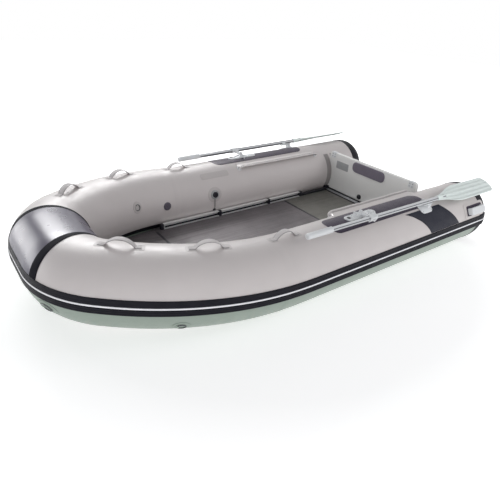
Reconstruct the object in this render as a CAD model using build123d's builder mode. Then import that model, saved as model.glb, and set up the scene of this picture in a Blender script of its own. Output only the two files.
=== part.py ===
"""Rigid-floor inflatable boat with an inflatable keel, a plywood transom and a pair of stowed oars.

Millimetres. +X is forward, +Y is port, +Z is up. The origin is under the middle of the hull, on the
plane that the buoyancy tubes stand on. The tube runs straight up each side, lifts through the sheer
bend, then turns inwards through a wide shoulder, a tighter corner and a short straight nose.
Angles round the tube are measured from its crest: positive outboard, negative inboard.
Stations are measured forward from the stern ends of the tubes, setbacks aft from the bow, and the
stringers' advance forward from the place where the shoulder begins.
"""

from math import asin, atan2, cos, degrees, hypot, radians, sin, sqrt, tan
import os

from build123d import *

os.makedirs("parts", exist_ok=True)

# ---- hull --------------------------------------------------------------------------------------
length = 3200.0
beam = 1720.0
tube_radius = 220.0
sheer_angle = 4.5
sheer_radius = 2600.0
shoulder_angle = 38.0
corner_radius = 300.0
nose_half = 115.0
stern_rounding = 125.0
stern_cap_length = 80.0

# ---- glued sheets and seats --------------------------------------------------------------------
bond_gap = 0.3
patch_thickness = 2.0
cut_margin = 1.0
trim_angle = 2.0

# ---- strake ------------------------------------------------------------------------------------
strake_thickness = 8.0
strake_top_angle = 78.0
strake_stripe_top = 87.6
strake_stripe_foot = 90.4
strake_foot_angle = 100.0
strake_edge_angle = 0.5
strake_upper_thickness = 6.0
strake_stern_angle = 50.0

# ---- bow cap -----------------------------------------------------------------------------------
cap_seam_half = 212.0
cap_seam_yaw = 14.7
cap_inner_angle = -120.0
cap_seam_setback = 250.0

# ---- floor -------------------------------------------------------------------------------------
floor_top = 88.0
floor_thickness = 22.0
floor_edge_gap = 2.0
floor_joint_gap = 3.0
bow_joint_setback = 987.0
aft_joint_station = 1013.0
keel_radius = 70.0
keel_web_rise = 18.0
bottom_edge_angle = 145.0

# ---- transom -----------------------------------------------------------------------------------
transom_station = 453.0
transom_thickness = 28.0
transom_top = 432.0
transom_shoulder_inset = 178.0
transom_corner_radius = 24.0
transom_foot_z = 14.0
transom_profile_width = 46.0
transom_profile_rise = 7.0

# ---- motor pads --------------------------------------------------------------------------------
motor_pad_width = 330.0
motor_pad_height = 95.0
motor_pad_outer_height = 190.0
motor_pad_thickness = 6.0
motor_pad_corner = 24.0
motor_pad_drop = 12.0
drain_y = -58.0
drain_z = 135.0
drain_flange_radius = 22.0
drain_flange_thickness = 5.0
drain_plug_radius = 14.0
drain_plug_length = 16.0
bracket_length = 60.0
bracket_width = 46.0
bracket_thickness = 3.0

# ---- stringers ---------------------------------------------------------------------------------
stringer_tube_gap = 10.0
stringer_width = 27.0
stringer_height = 40.0
stringer_wall = 3.0
stringer_front_advance = 138.5
stringer_aft_station = 820.0
stringer_joint_stations = (1660.0, 1175.0)
stringer_joint_length = 26.0
stringer_end_length = 32.0

# ---- oars --------------------------------------------------------------------------------------
lock_station = 1310.0
lock_angle = 4.0
shaft_angle = 24.3
oar_yaw = 0.9
shaft_radius = 15.0
shaft_standoff = 54.0
grip_radius = 19.0
grip_reach = 532.0
grip_length = 190.0
blade_root_reach = 655.0
blade_tip_reach = 1298.0
blade_half_width = 72.0
blade_thickness = 9.0
blade_neck_radius = 19.0
blade_neck_length = 130.0
blade_flare_length = 250.0
blade_tip_radius = 55.0
shaft_in_blade = 90.0
shaft_in_grip = 120.0
slip_gap = 0.3

# ---- rowlock -----------------------------------------------------------------------------------
rowlock_front_reach = 124.0
rowlock_aft_reach = 148.0
rowlock_from_angle = -9.0
rowlock_to_angle = 15.0
rowlock_corner = 36.0
rowlock_thickness = 7.0
rowlock_boss_radius = 17.0
rowlock_boss_top = 23.0
pin_radius = 6.0
pin_clearance = 0.05
pin_head_radius = 11.0
pin_head_thickness = 4.0
collar_radius = 21.0
collar_length = 62.0
collar_arm_height = 15.0
collar_arm_width = 36.0
collar_running_gap = 0.5

# ---- oar clip ----------------------------------------------------------------------------------
clip_station = 752.0
clip_length = 118.0
clip_from_angle = 17.0
clip_to_angle = 40.0
clip_corner = 30.0
clip_thickness = 5.0
clip_post_offset = 30.0
clip_post_length = 24.0
clip_rest_length = 96.0
clip_lip_length = 34.0
clip_wall = 5.0
oar_clearance = 6.0

# ---- chafe pad under the oar -------------------------------------------------------------------
chafe_front_station = 1600.0
chafe_aft_station = 690.0
chafe_from_angle = -16.0
chafe_to_angle = 27.0
chafe_corner = 60.0

# ---- aft colour band ---------------------------------------------------------------------------
band_thickness = 1.0
band_top_angle = 31.0
band_front_arc = (1030.0, 100.0, 315.0)
band_aft_arc = (800.0, 0.0, 455.0)

# ---- grab straps -------------------------------------------------------------------------------
strap_width = 34.0
strap_thickness = 3.0
strap_rise = 42.0
strap_span = 150.0
strap_foot = 34.0
strap_angle = 1.0
strap_station = 1925.0
strap_shoulder_turns = (16.0, 34.5)

# ---- seat rails --------------------------------------------------------------------------------
rail_front_station = 1427.0
rail_aft_station = 595.0
rail_from_angle = -27.0
rail_to_angle = -19.0
rail_flap_angle = -23.0
rail_rope_angle = -36.7
rail_rope_reach = 36.0
rail_rope_radius = 5.0

# ---- small fittings ----------------------------------------------------------------------------
valve_station = 1702.0
valve_angle = -78.0
valve_radius = 36.0
valve_height = 9.0
valve_cap_radius = 24.0
valve_cap_height = 6.0
relief_turn = 4.5
relief_angle = -84.0
relief_radius = 20.0
relief_height = 7.0
ring_patch_radius = 42.0
ring_radius = 20.0
ring_wire = 3.0
ring_seat = 0.8
keeper_length = 12.0
keeper_width = 20.0
skin_sink = 8.0
inner_ring_turn = 17.0
inner_ring_angle = -74.0
lifting_ring_turn = 22.0
lifting_ring_angle = 125.0
tow_ring_turn = 66.0
tow_ring_angle = 115.0
handle_station = 232.0
handle_length = 244.0
handle_from_angle = 48.0
handle_to_angle = 76.0
handle_angle = 62.0
handle_corner = 22.0
handle_thickness = 4.0
handle_standoff = 22.0
handle_grip_width = 30.0
handle_grip_thickness = 14.0
handle_post_length = 18.0
handle_post_spread = 158.0

# ---- derived -----------------------------------------------------------------------------------
half_length = length / 2
stern_x = -half_length
tube_y = beam / 2 - tube_radius
transom_face_x = stern_x + transom_station
aft_joint_x = stern_x + aft_joint_station
bow_joint_x = half_length - bow_joint_setback
lock_x = stern_x + lock_station
clip_x = stern_x + clip_station
rail_front_x = stern_x + rail_front_station
rail_aft_x = stern_x + rail_aft_station
tilt = radians(sheer_angle)
turn = radians(shoulder_angle)
shoulder_radius = (tube_y - nose_half - corner_radius * cos(turn)) / (1 - cos(turn))
bow_run = shoulder_radius * sin(turn) + corner_radius * (1 - sin(turn))
bow_x = half_length - tube_radius - strake_thickness - bow_run * cos(tilt)
sheer_x = bow_x - sheer_radius * sin(tilt)
stringer_front_x = bow_x + stringer_front_advance
bow_z = tube_radius + sheer_radius * (1 - cos(tilt))
tilt_out = Vector(cos(tilt), 0, sin(tilt))
tilt_up = Vector(-sin(tilt), 0, cos(tilt))
bow_base = Vector(bow_x, 0, bow_z)
bow_plane = Plane(origin=bow_base, x_dir=tilt_out, z_dir=tilt_up)
sheer_axis = Axis((sheer_x, 0, tube_radius + sheer_radius), (0, -1, 0))
turn_down = tilt_up * -1
sheet_radius = tube_radius + bond_gap
pad_radius = sheet_radius + patch_thickness
floor_foot = floor_top - floor_thickness
profile_top = floor_top + transom_profile_rise
floor_edge_inset = sqrt(tube_radius**2 - (tube_radius - profile_top) ** 2) + floor_edge_gap


def side_plane(x):
    """Section plane of the port tube at a station short of the shoulder: local x outboard, local y up."""
    lift = asin(max(0.0, x - sheer_x) / sheer_radius)
    height = tube_radius + sheer_radius * (1 - cos(lift))
    return Plane(origin=(x, tube_y, height), x_dir=(0, 1, 0), z_dir=(cos(lift), 0, sin(lift)))


def shoulder_plane(degrees):
    """Section plane of the port tube after turning this far through the shoulder."""
    angle = radians(degrees)
    outward = Vector(0, 1, 0) * cos(angle) + tilt_out * sin(angle)
    ahead = tilt_out * cos(angle) - Vector(0, 1, 0) * sin(angle)
    centre = bow_base + Vector(0, tube_y - shoulder_radius, 0)
    return Plane(origin=centre + outward * shoulder_radius, x_dir=outward, z_dir=ahead)


def nose_plane(y):
    """Section plane of the nose at a distance from the centreline: local x forward, normal to starboard."""
    return Plane(origin=bow_base + tilt_out * bow_run + Vector(0, y, 0), x_dir=tilt_out, z_dir=(0, -1, 0))


def corner_section(degrees):
    """Section plane of the port tube in the corner, after turning this far from the straight side."""
    angle = radians(degrees)
    outward = Vector(0, 1, 0) * cos(angle) + tilt_out * sin(angle)
    ahead = tilt_out * cos(angle) - Vector(0, 1, 0) * sin(angle)
    centre = bow_base + tilt_out * (bow_run - corner_radius) + Vector(0, nose_half, 0)
    return Plane(origin=centre + outward * corner_radius, x_dir=outward, z_dir=ahead)


def around(plane, radius, degrees):
    """Plane at a radius round the tube: normal outwards, x forward along the tube, y away from the crew."""
    angle = radians(degrees)
    outward = plane.x_dir * sin(angle) + plane.y_dir * cos(angle)
    return Plane(origin=plane.origin + outward * radius, x_dir=plane.z_dir, z_dir=outward)


shoulder_axis = Axis(bow_base + Vector(0, tube_y - shoulder_radius, 0), turn_down)
corner_plane = corner_section(shoulder_angle)
corner_axis = Axis(corner_plane.origin - corner_plane.x_dir * corner_radius, turn_down)


def ring_band(inner, outer, from_angle, to_angle):
    """Face between two radii and two angles round the tube."""
    start = 90 - to_angle
    sweep_angle = to_angle - from_angle
    with BuildLine() as outline:
        low = CenterArc((0, 0), inner, start, sweep_angle)
        high = CenterArc((0, 0), outer, start, sweep_angle)
        Line(low @ 0, high @ 0)
        Line(low @ 1, high @ 1)
    make_face(outline.edges())


def run_side(profile, from_x, to_x):
    """Carries a section along the straight side."""
    with BuildSketch(side_plane(from_x)) as section:
        profile()
    extrude(section.sketch, amount=to_x - from_x)


def run_sheer(profile):
    """Carries a section through the sheer bend."""
    with BuildSketch(side_plane(sheer_x)) as section:
        profile()
    revolve(section.sketch, axis=sheer_axis, revolution_arc=sheer_angle)


def run_shoulder(profile):
    """Carries a section through the shoulder."""
    with BuildSketch(shoulder_plane(0)) as section:
        profile()
    revolve(section.sketch, axis=shoulder_axis, revolution_arc=shoulder_angle)


def run_corner(profile):
    """Carries a section through the corner."""
    with BuildSketch(corner_plane) as section:
        profile()
    revolve(section.sketch, axis=corner_axis, revolution_arc=90 - shoulder_angle)


def run_nose(profile):
    """Carries a section across half of the nose, up to the centreline."""
    with BuildSketch(nose_plane(nose_half)) as section:
        profile()
    extrude(section.sketch, amount=nose_half)


def finish(builder, name):
    """Labels a piece and writes its file."""
    builder.part.label = name
    export_step(builder.part, f"parts/{name}.step")


def tube_section():
    Circle(tube_radius)


def gap_section():
    Circle(sheet_radius)


# ---- buoyancy tubes ----------------------------------------------------------------------------
with BuildPart() as side_tube:
    run_side(tube_section, stern_x, sheer_x)
    fillet(side_tube.edges().group_by(Axis.X)[0], stern_rounding)
    split(bisect_by=Plane(origin=(stern_x + stern_cap_length, 0, 0), z_dir=(1, 0, 0)), keep=Keep.TOP)
    run_sheer(tube_section)

with BuildPart() as side_tube_port:
    add(side_tube.part)
finish(side_tube_port, "side_tube_port")

with BuildPart() as side_tube_starboard:
    add(side_tube.part.mirror(Plane.XZ))
finish(side_tube_starboard, "side_tube_starboard")

with BuildPart() as shoulder_tube_port:
    run_shoulder(tube_section)
finish(shoulder_tube_port, "shoulder_tube_port")

with BuildPart() as shoulder_tube_starboard:
    add(shoulder_tube_port.part.mirror(Plane.XZ))
finish(shoulder_tube_starboard, "shoulder_tube_starboard")

with BuildPart() as bow_tube:
    run_corner(tube_section)
    run_nose(tube_section)
    mirror(about=Plane.XZ)
finish(bow_tube, "bow_tube")

with BuildPart() as stern_caps:
    run_side(tube_section, stern_x, stern_x + stern_rounding + stern_cap_length)
    fillet(stern_caps.edges().group_by(Axis.X)[0], stern_rounding)
    split(bisect_by=Plane(origin=(stern_x + stern_cap_length, 0, 0), z_dir=(1, 0, 0)), keep=Keep.BOTTOM)
    mirror(about=Plane.XZ)
finish(stern_caps, "stern_caps")

with BuildPart() as tube_space:
    run_side(gap_section, stern_x - cut_margin, sheer_x)
    run_sheer(gap_section)
    run_shoulder(gap_section)
    run_corner(gap_section)
    run_nose(gap_section)
    mirror(about=Plane.XZ)

# ---- bow cap: a doubled skin over the nose, above the strake -----------------------------------


def cap_section():
    ring_band(sheet_radius, pad_radius, cap_inner_angle, strake_top_angle - strake_edge_angle)


seam_plane = Plane(
    origin=(half_length - cap_seam_setback, cap_seam_half, 0),
    x_dir=(cos(radians(cap_seam_yaw)), sin(radians(cap_seam_yaw)), 0),
    z_dir=(-sin(radians(cap_seam_yaw)), cos(radians(cap_seam_yaw)), 0),
)

with BuildPart() as bow_cap:
    run_corner(cap_section)
    run_nose(cap_section)
    split(bisect_by=seam_plane, keep=Keep.BOTTOM)
    mirror(about=Plane.XZ)
finish(bow_cap, "bow_cap")

# ---- rubbing strake with its pinstripe ---------------------------------------------------------


def run_stern(thickness, from_angle, to_angle):
    """Carries a strip of the strake round the rounded end of the port tube."""
    start = around(side_plane(stern_x + stern_rounding), tube_radius - stern_rounding, from_angle)
    lengthwise = Plane(origin=start.origin, x_dir=start.z_dir, z_dir=start.y_dir * -1)
    with BuildSketch(lengthwise) as section:
        with BuildLine() as outline:
            low = CenterArc((0, 0), stern_rounding + bond_gap, 0, strake_stern_angle)
            high = CenterArc((0, 0), stern_rounding + thickness, 0, strake_stern_angle)
            Line(low @ 0, high @ 0)
            Line(low @ 1, high @ 1)
        make_face(outline.edges())
    tube_axis = Axis((stern_x, tube_y, tube_radius), (-1, 0, 0))
    revolve(section.sketch, axis=tube_axis, revolution_arc=to_angle - from_angle)


def strake_strip(name, thickness, from_angle, to_angle):
    """One strip of the strake, from stern to stern round the bow."""

    def profile():
        ring_band(sheet_radius, tube_radius + thickness, from_angle, to_angle)

    with BuildPart() as strip:
        run_stern(thickness, from_angle, to_angle)
        run_side(profile, stern_x + stern_rounding, sheer_x)
        run_sheer(profile)
        run_shoulder(profile)
        run_corner(profile)
        run_nose(profile)
        mirror(about=Plane.XZ)
    finish(strip, name)


strake_strip("strake_upper_band", strake_upper_thickness, strake_top_angle, strake_stripe_top)
strake_strip("strake_lower_band", strake_thickness, strake_stripe_foot, strake_foot_angle)
strake_strip("strake_stripe", strake_upper_thickness, strake_stripe_top, strake_stripe_foot)

# ---- aft colour bands, between two arcs seen from the side -------------------------------------


def band_section():
    band_foot_angle = strake_top_angle - strake_edge_angle
    ring_band(sheet_radius, sheet_radius + band_thickness, band_top_angle, band_foot_angle)


with BuildPart() as aft_bands:
    run_side(
        band_section,
        stern_x + stern_cap_length,
        sheer_x,
    )
    with BuildSketch(Plane.XZ.offset(-tube_y)):
        with Locations((stern_x + band_aft_arc[0], band_aft_arc[1])):
            Circle(band_aft_arc[2])
        with Locations((stern_x + band_front_arc[0], band_front_arc[1])):
            Circle(band_front_arc[2], mode=Mode.SUBTRACT)
    extrude(amount=-beam, mode=Mode.INTERSECT)
    mirror(about=Plane.XZ)
finish(aft_bands, "aft_bands")

# ---- hull bottom with the keel, filled up to the underside of the floor ------------------------


def bottom_section():
    """Shallow V between the tubes, round at the keel, in a section plane on the centreline."""
    angle = radians(bottom_edge_angle)
    edge_y = tube_y - tube_radius * sin(angle)
    edge_z = tube_radius * cos(angle)
    web_z = keel_web_rise - tube_radius
    with BuildLine() as outline:
        Polyline((-edge_y, 0), (-edge_y, edge_z), (0, web_z), (edge_y, edge_z), (edge_y, 0), close=True)
    make_face(outline.edges())
    with Locations((0, keel_radius - tube_radius)):
        Circle(keel_radius)


def floor_space():
    """Side outline of everything above the floor's underside, level aft and tilted forward."""
    run = half_length - bow_joint_x
    with BuildLine() as outline:
        Polyline(
            (transom_face_x - cut_margin, floor_foot - bond_gap),
            (bow_joint_x, floor_foot - bond_gap),
            (half_length, floor_foot - bond_gap + run * tan(tilt)),
            (half_length, beam),
            (transom_face_x - cut_margin, beam),
            close=True,
        )
    make_face(outline.edges())


centre_section = Plane(origin=(transom_face_x + bond_gap, 0, tube_radius), x_dir=(0, 1, 0), z_dir=(1, 0, 0))
sheer_section = Plane(origin=(sheer_x, 0, tube_radius), x_dir=(0, 1, 0), z_dir=(1, 0, 0))

with BuildPart() as bow_footprint:
    with BuildSketch(bow_plane):
        with BuildLine():
            Line((0, 0), (0, tube_y))
            shoulder_arc = CenterArc((0, tube_y - shoulder_radius), shoulder_radius, 90, -shoulder_angle)
            corner_centre = (bow_run - corner_radius, nose_half)
            corner_arc = CenterArc(corner_centre, corner_radius, 90 - shoulder_angle, shoulder_angle - 90)
            Line(corner_arc @ 1, (bow_run, 0))
            Line((bow_run, 0), (0, 0))
        make_face()
    extrude(amount=-beam)
    mirror(about=Plane.XZ)

with BuildPart() as hull_bottom:
    with BuildSketch(Plane(origin=(bow_x, 0, bow_z), x_dir=(0, 1, 0), z_dir=tilt_out)):
        bottom_section()
    extrude(amount=bow_run)
    add(bow_footprint.part, mode=Mode.INTERSECT)
    with BuildSketch(centre_section):
        bottom_section()
    extrude(amount=sheer_x - transom_face_x - bond_gap)
    with BuildSketch(sheer_section):
        bottom_section()
    revolve(axis=sheer_axis, revolution_arc=sheer_angle)
    with BuildSketch(Plane.XZ):
        floor_space()
    extrude(amount=beam, both=True, mode=Mode.SUBTRACT)
    add(tube_space.part, mode=Mode.SUBTRACT)
finish(hull_bottom, "hull_bottom")

# ---- floor panels ------------------------------------------------------------------------------
floor_half_width = tube_y - floor_edge_inset


def floor_panel(name, aft_x, front_x):
    """A flat aluminium panel across the hull."""
    with BuildPart() as panel:
        with BuildSketch(Plane.XY.offset(floor_foot)):
            with Locations(((aft_x + front_x) / 2, 0)):
                Rectangle(front_x - aft_x, 2 * floor_half_width)
        extrude(amount=floor_thickness)
    finish(panel, name)


profile_front_x = transom_face_x + bond_gap + transom_profile_width
floor_panel("floor_panel_aft", profile_front_x + bond_gap, aft_joint_x - floor_joint_gap / 2)
floor_panel("floor_panel_middle", aft_joint_x + floor_joint_gap / 2, bow_joint_x - floor_joint_gap / 2)

bow_panel_start = (bow_joint_x + floor_joint_gap / 2 + floor_thickness * tan(tilt) - bow_x) / cos(tilt)
bow_panel_origin = Vector(bow_x, 0, floor_foot - (bow_joint_x - bow_x) * tan(tilt))
with BuildPart() as floor_panel_bow:
    with BuildSketch(Plane(origin=bow_panel_origin, x_dir=tilt_out, z_dir=tilt_up)):
        with BuildLine():
            inner_shoulder = shoulder_radius - floor_edge_inset
            inner_corner = corner_radius - floor_edge_inset
            Line((0, 0), (0, floor_half_width))
            CenterArc((0, tube_y - shoulder_radius), inner_shoulder, 90, -shoulder_angle)
            tip = CenterArc(corner_centre, inner_corner, 90 - shoulder_angle, shoulder_angle - 90)
            Line(tip @ 1, (bow_run - floor_edge_inset, 0))
            Line((bow_run - floor_edge_inset, 0), (0, 0))
        make_face()
        mirror(about=Plane.XZ)
        with Locations((bow_panel_start / 2, 0)):
            Rectangle(bow_panel_start, beam, mode=Mode.SUBTRACT)
    extrude(amount=floor_thickness)
finish(floor_panel_bow, "floor_panel_bow")

# ---- transom and what it carries ---------------------------------------------------------------
transom_shoulder_y = tube_y - transom_shoulder_inset
with BuildPart() as transom:
    with BuildSketch(Plane(origin=(transom_face_x, 0, 0), x_dir=(0, 1, 0), z_dir=(-1, 0, 0))):
        with BuildLine():
            Polyline(
                (0, -transom_foot_z),
                (tube_y, -transom_foot_z - tube_radius * (1 + cos(radians(bottom_edge_angle)))),
                (tube_y, -tube_radius),
                (transom_shoulder_y, -tube_radius),
                (transom_shoulder_y, -transom_top),
                (-transom_shoulder_y, -transom_top),
                (-transom_shoulder_y, -tube_radius),
                (-tube_y, -tube_radius),
                (-tube_y, -transom_foot_z - tube_radius * (1 + cos(radians(bottom_edge_angle)))),
                close=True,
            )
        make_face()
    extrude(amount=transom_thickness)
    top_corners = transom.edges().filter_by(Axis.X).group_by(Axis.Z)[-1]
    fillet(top_corners, transom_corner_radius)
    add(tube_space.part, mode=Mode.SUBTRACT)
finish(transom, "transom")

with BuildPart() as transom_profile:
    with BuildSketch(Plane.XY.offset(floor_foot)):
        with Locations((transom_face_x + bond_gap + transom_profile_width / 2, 0)):
            Rectangle(transom_profile_width, 2 * floor_half_width)
    extrude(amount=profile_top - floor_foot)
finish(transom_profile, "transom_profile")


def motor_pad(name, face_x, height, direction):
    """A plastic clamp pad on one face of the transom, just under its top edge."""
    middle_z = transom_top - motor_pad_drop - height / 2
    with BuildPart() as pad:
        face = Plane(origin=(face_x, 0, middle_z), x_dir=(0, direction, 0), z_dir=(direction, 0, 0))
        with BuildSketch(face):
            RectangleRounded(motor_pad_width, height, motor_pad_corner)
        extrude(amount=motor_pad_thickness)
    finish(pad, name)


motor_pad("motor_pad_inner", transom_face_x + bond_gap, motor_pad_height, 1)
motor_pad("motor_pad_outer", transom_face_x - transom_thickness - bond_gap, motor_pad_outer_height, -1)

drain_face = Plane(
    origin=(transom_face_x + bond_gap, drain_y, drain_z),
    x_dir=(0, 1, 0),
    z_dir=(1, 0, 0),
)
with BuildPart() as drain_plug:
    with BuildSketch(drain_face):
        Circle(drain_flange_radius)
    extrude(amount=drain_flange_thickness)
    with BuildSketch(drain_face):
        Circle(drain_plug_radius)
    extrude(amount=drain_plug_length)
finish(drain_plug, "drain_plug")

with BuildPart() as transom_brackets:
    bracket_y = transom_shoulder_y - transom_corner_radius - bracket_width / 2
    bracket_foot = transom_top - bracket_width
    with BuildSketch(Plane.YZ.offset(transom_face_x + bond_gap)):
        with Locations((bracket_y, bracket_foot + bracket_width / 2)):
            Rectangle(bracket_width, bracket_width)
    extrude(amount=bracket_thickness)
    with BuildSketch(Plane.YZ.offset(transom_face_x + bond_gap + bracket_thickness)):
        with Locations((bracket_y, transom_top + bond_gap + bracket_thickness / 2)):
            Rectangle(bracket_width, bracket_thickness)
        with Locations((bracket_y, transom_top + bond_gap / 2)):
            Rectangle(bracket_width, bond_gap)
    extrude(amount=-transom_thickness)
    mirror(about=Plane.XZ)
finish(transom_brackets, "transom_brackets")

# ---- stringers clipped along the floor's edges -------------------------------------------------
stringer_z = floor_top + bond_gap
tube_inset = sqrt(tube_radius**2 - (tube_radius - stringer_z - stringer_height) ** 2)
stringer_y = tube_y - tube_inset - stringer_tube_gap - stringer_width / 2


def stringer_section(width, height):
    """Channel section standing on the floor, open inboard."""
    with Locations((stringer_y, stringer_z + height / 2)):
        Rectangle(width, height)
    with Locations((stringer_y - stringer_wall, stringer_z + height / 2)):
        Rectangle(width, height - 2 * stringer_wall, mode=Mode.SUBTRACT)


stringer_cuts = [stringer_front_x]
stringer_cuts += [stern_x + station for station in (*stringer_joint_stations, stringer_aft_station)]
with BuildPart() as stringers:
    for front, aft in zip(stringer_cuts, stringer_cuts[1:]):
        start = aft + stringer_joint_length / 2
        stop = front - stringer_joint_length / 2
        with BuildSketch(Plane.YZ.offset(start)):
            stringer_section(stringer_width, stringer_height)
        extrude(amount=stop - start)
    mirror(about=Plane.XZ)
finish(stringers, "stringers")

with BuildPart() as stringer_joints:
    for middle in stringer_cuts:
        with BuildSketch(Plane.YZ.offset(middle - stringer_joint_length / 2 + bond_gap)):
            with Locations((stringer_y, stringer_z + stringer_height / 2)):
                Rectangle(stringer_width, stringer_height)
        extrude(amount=stringer_joint_length - 2 * bond_gap)
    mirror(about=Plane.XZ)
finish(stringer_joints, "stringer_joints")

# ---- chafe pads and rowlocks ---------------------------------------------------------------------


def rounded_sheet(inner, outer, from_angle, to_angle, aft_x, front_x, corner):
    """A sheet lying round the side tube, trimmed to a rounded outline along its middle normal."""

    def untrimmed():
        ring_band(inner, outer, from_angle - trim_angle, to_angle + trim_angle)

    middle = around(side_plane((aft_x + front_x) / 2), 0, (from_angle + to_angle) / 2)
    width = 2 * outer * sin(radians(to_angle - from_angle) / 2)
    run_side(untrimmed, aft_x - cut_margin, front_x + cut_margin)
    with BuildSketch(middle) as outline:
        RectangleRounded(front_x - aft_x, width, corner)
    extrude(outline.sketch, amount=outer + cut_margin, mode=Mode.INTERSECT)


with BuildPart() as chafe_pads:
    rounded_sheet(
        sheet_radius,
        pad_radius,
        chafe_from_angle,
        chafe_to_angle,
        stern_x + chafe_aft_station,
        stern_x + chafe_front_station,
        chafe_corner,
    )
    mirror(about=Plane.XZ)
finish(chafe_pads, "chafe_pads")

# ---- rowlocks: a moulded foot with a boss, and the pin the oar turns on --------------------------
lock_section = side_plane(lock_x)
lock_plane = around(lock_section, 0, lock_angle)
rowlock_inner = pad_radius + bond_gap
rowlock_outer = rowlock_inner + rowlock_thickness
boss_top = tube_radius + rowlock_boss_top
shaft_reach = tube_radius + shaft_standoff
lean = radians(shaft_angle - lock_angle)
arm_centre = shaft_reach * cos(lean)
arm_foot = boss_top + collar_running_gap
arm_head = arm_foot + collar_arm_height
pin_top = arm_head + collar_running_gap + pin_head_thickness

with BuildPart() as rowlock:
    rounded_sheet(
        rowlock_inner,
        rowlock_outer,
        rowlock_from_angle,
        rowlock_to_angle,
        lock_x - rowlock_aft_reach,
        lock_x + rowlock_front_reach,
        rowlock_corner,
    )
    with BuildSketch(lock_plane.offset(rowlock_inner + rowlock_thickness / 2)):
        Circle(rowlock_boss_radius)
    extrude(amount=boss_top - rowlock_inner - rowlock_thickness / 2)
    with BuildSketch(lock_plane.offset(boss_top)):
        Circle(pin_radius)
    extrude(amount=pin_top - boss_top)
    with BuildSketch(lock_plane.offset(pin_top - pin_head_thickness)):
        Circle(pin_head_radius)
    extrude(amount=pin_head_thickness)

with BuildPart() as rowlock_port:
    add(rowlock.part)
finish(rowlock_port, "rowlock_port")

with BuildPart() as rowlock_starboard:
    add(rowlock.part.mirror(Plane.XZ))
finish(rowlock_starboard, "rowlock_starboard")

# ---- oars, stowed with the blade aft -------------------------------------------------------------
shaft_y = shaft_reach * sin(lean)
yaw = radians(oar_yaw)
oar_origin = lock_plane.origin + lock_plane.z_dir * arm_centre + lock_plane.y_dir * shaft_y
oar_along = lock_plane.x_dir * cos(yaw) - lock_plane.y_dir * sin(yaw)
blade_lean = lock_plane.z_dir * cos(lean) + lock_plane.y_dir * sin(lean)
blade_across = blade_lean.cross(oar_along)


def oar_section(reach):
    """Plane across the oar at a distance forward of the lock, facing forward."""
    return Plane(origin=oar_origin + oar_along * reach, x_dir=lock_plane.z_dir, z_dir=oar_along)


shaft_front = grip_reach - grip_length + shaft_in_grip
shaft_aft = -blade_root_reach - shaft_in_blade
bore_radius = shaft_radius + slip_gap

with BuildPart() as oar_shaft:
    with BuildSketch(oar_section(shaft_aft)):
        Circle(shaft_radius)
    extrude(amount=shaft_front - shaft_aft)

with BuildPart() as oar_grip:
    with BuildSketch(oar_section(grip_reach - grip_length)):
        Circle(grip_radius)
    extrude(amount=grip_length)
    fillet(oar_grip.edges().group_by(Axis.X)[-1], grip_radius / 2)
    fillet(oar_grip.edges().group_by(Axis.X)[0], grip_radius / 8)
    with BuildSketch(oar_section(grip_reach - grip_length)):
        Circle(bore_radius)
    extrude(amount=shaft_in_grip + slip_gap, mode=Mode.SUBTRACT)

blade_plane = Plane(
    origin=oar_section(-blade_root_reach).origin,
    x_dir=oar_along * -1,
    z_dir=oar_along.cross(blade_across),
)
blade_run = blade_tip_reach - blade_root_reach
with BuildPart() as oar_blade:
    with BuildSketch(blade_plane.offset(-blade_thickness / 2)):
        with BuildLine():
            flare = Spline(
                (0, blade_neck_radius),
                (blade_flare_length, blade_half_width),
                tangents=[(1, 0), (1, 0)],
            )
            tip_centre = (blade_run - blade_tip_radius, blade_half_width - blade_tip_radius)
            tip_arc = CenterArc(tip_centre, blade_tip_radius, 90, -90)
            Line(flare @ 1, tip_arc @ 0)
            Line(tip_arc @ 1, (blade_run, 0))
            Line((blade_run, 0), (0, 0))
            Line((0, 0), flare @ 0)
        make_face()
        mirror(about=Plane.XZ)
    extrude(amount=blade_thickness)
    with BuildSketch(oar_section(-blade_root_reach)):
        Circle(blade_neck_radius)
    extrude(amount=-blade_neck_length)
    with BuildSketch(oar_section(-blade_root_reach)):
        Circle(bore_radius)
    extrude(amount=-shaft_in_blade - slip_gap, mode=Mode.SUBTRACT)

with BuildPart() as oar_collar:
    with BuildSketch(lock_plane.offset(arm_foot)):
        with Locations((0, shaft_y / 2)):
            Rectangle(collar_arm_width, shaft_y)
        Circle(collar_arm_width / 2)
    extrude(amount=collar_arm_height)
    with BuildSketch(oar_section(-collar_length / 2)):
        Circle(collar_radius)
    extrude(amount=collar_length)
    with BuildSketch(oar_section(-collar_length / 2)):
        Circle(shaft_radius + pin_clearance)
    extrude(amount=collar_length, mode=Mode.SUBTRACT)
    with BuildSketch(lock_plane.offset(arm_foot)):
        Circle(pin_radius + pin_clearance)
    extrude(amount=collar_arm_height, mode=Mode.SUBTRACT)

oar_pieces = {"shaft": oar_shaft, "grip": oar_grip, "blade": oar_blade, "collar": oar_collar}
for piece_name, piece in oar_pieces.items():
    with BuildPart() as port_piece:
        add(piece.part)
    finish(port_piece, f"oar_{piece_name}_port")
    with BuildPart() as starboard_piece:
        add(piece.part.mirror(Plane.XZ))
    finish(starboard_piece, f"oar_{piece_name}_starboard")

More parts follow.
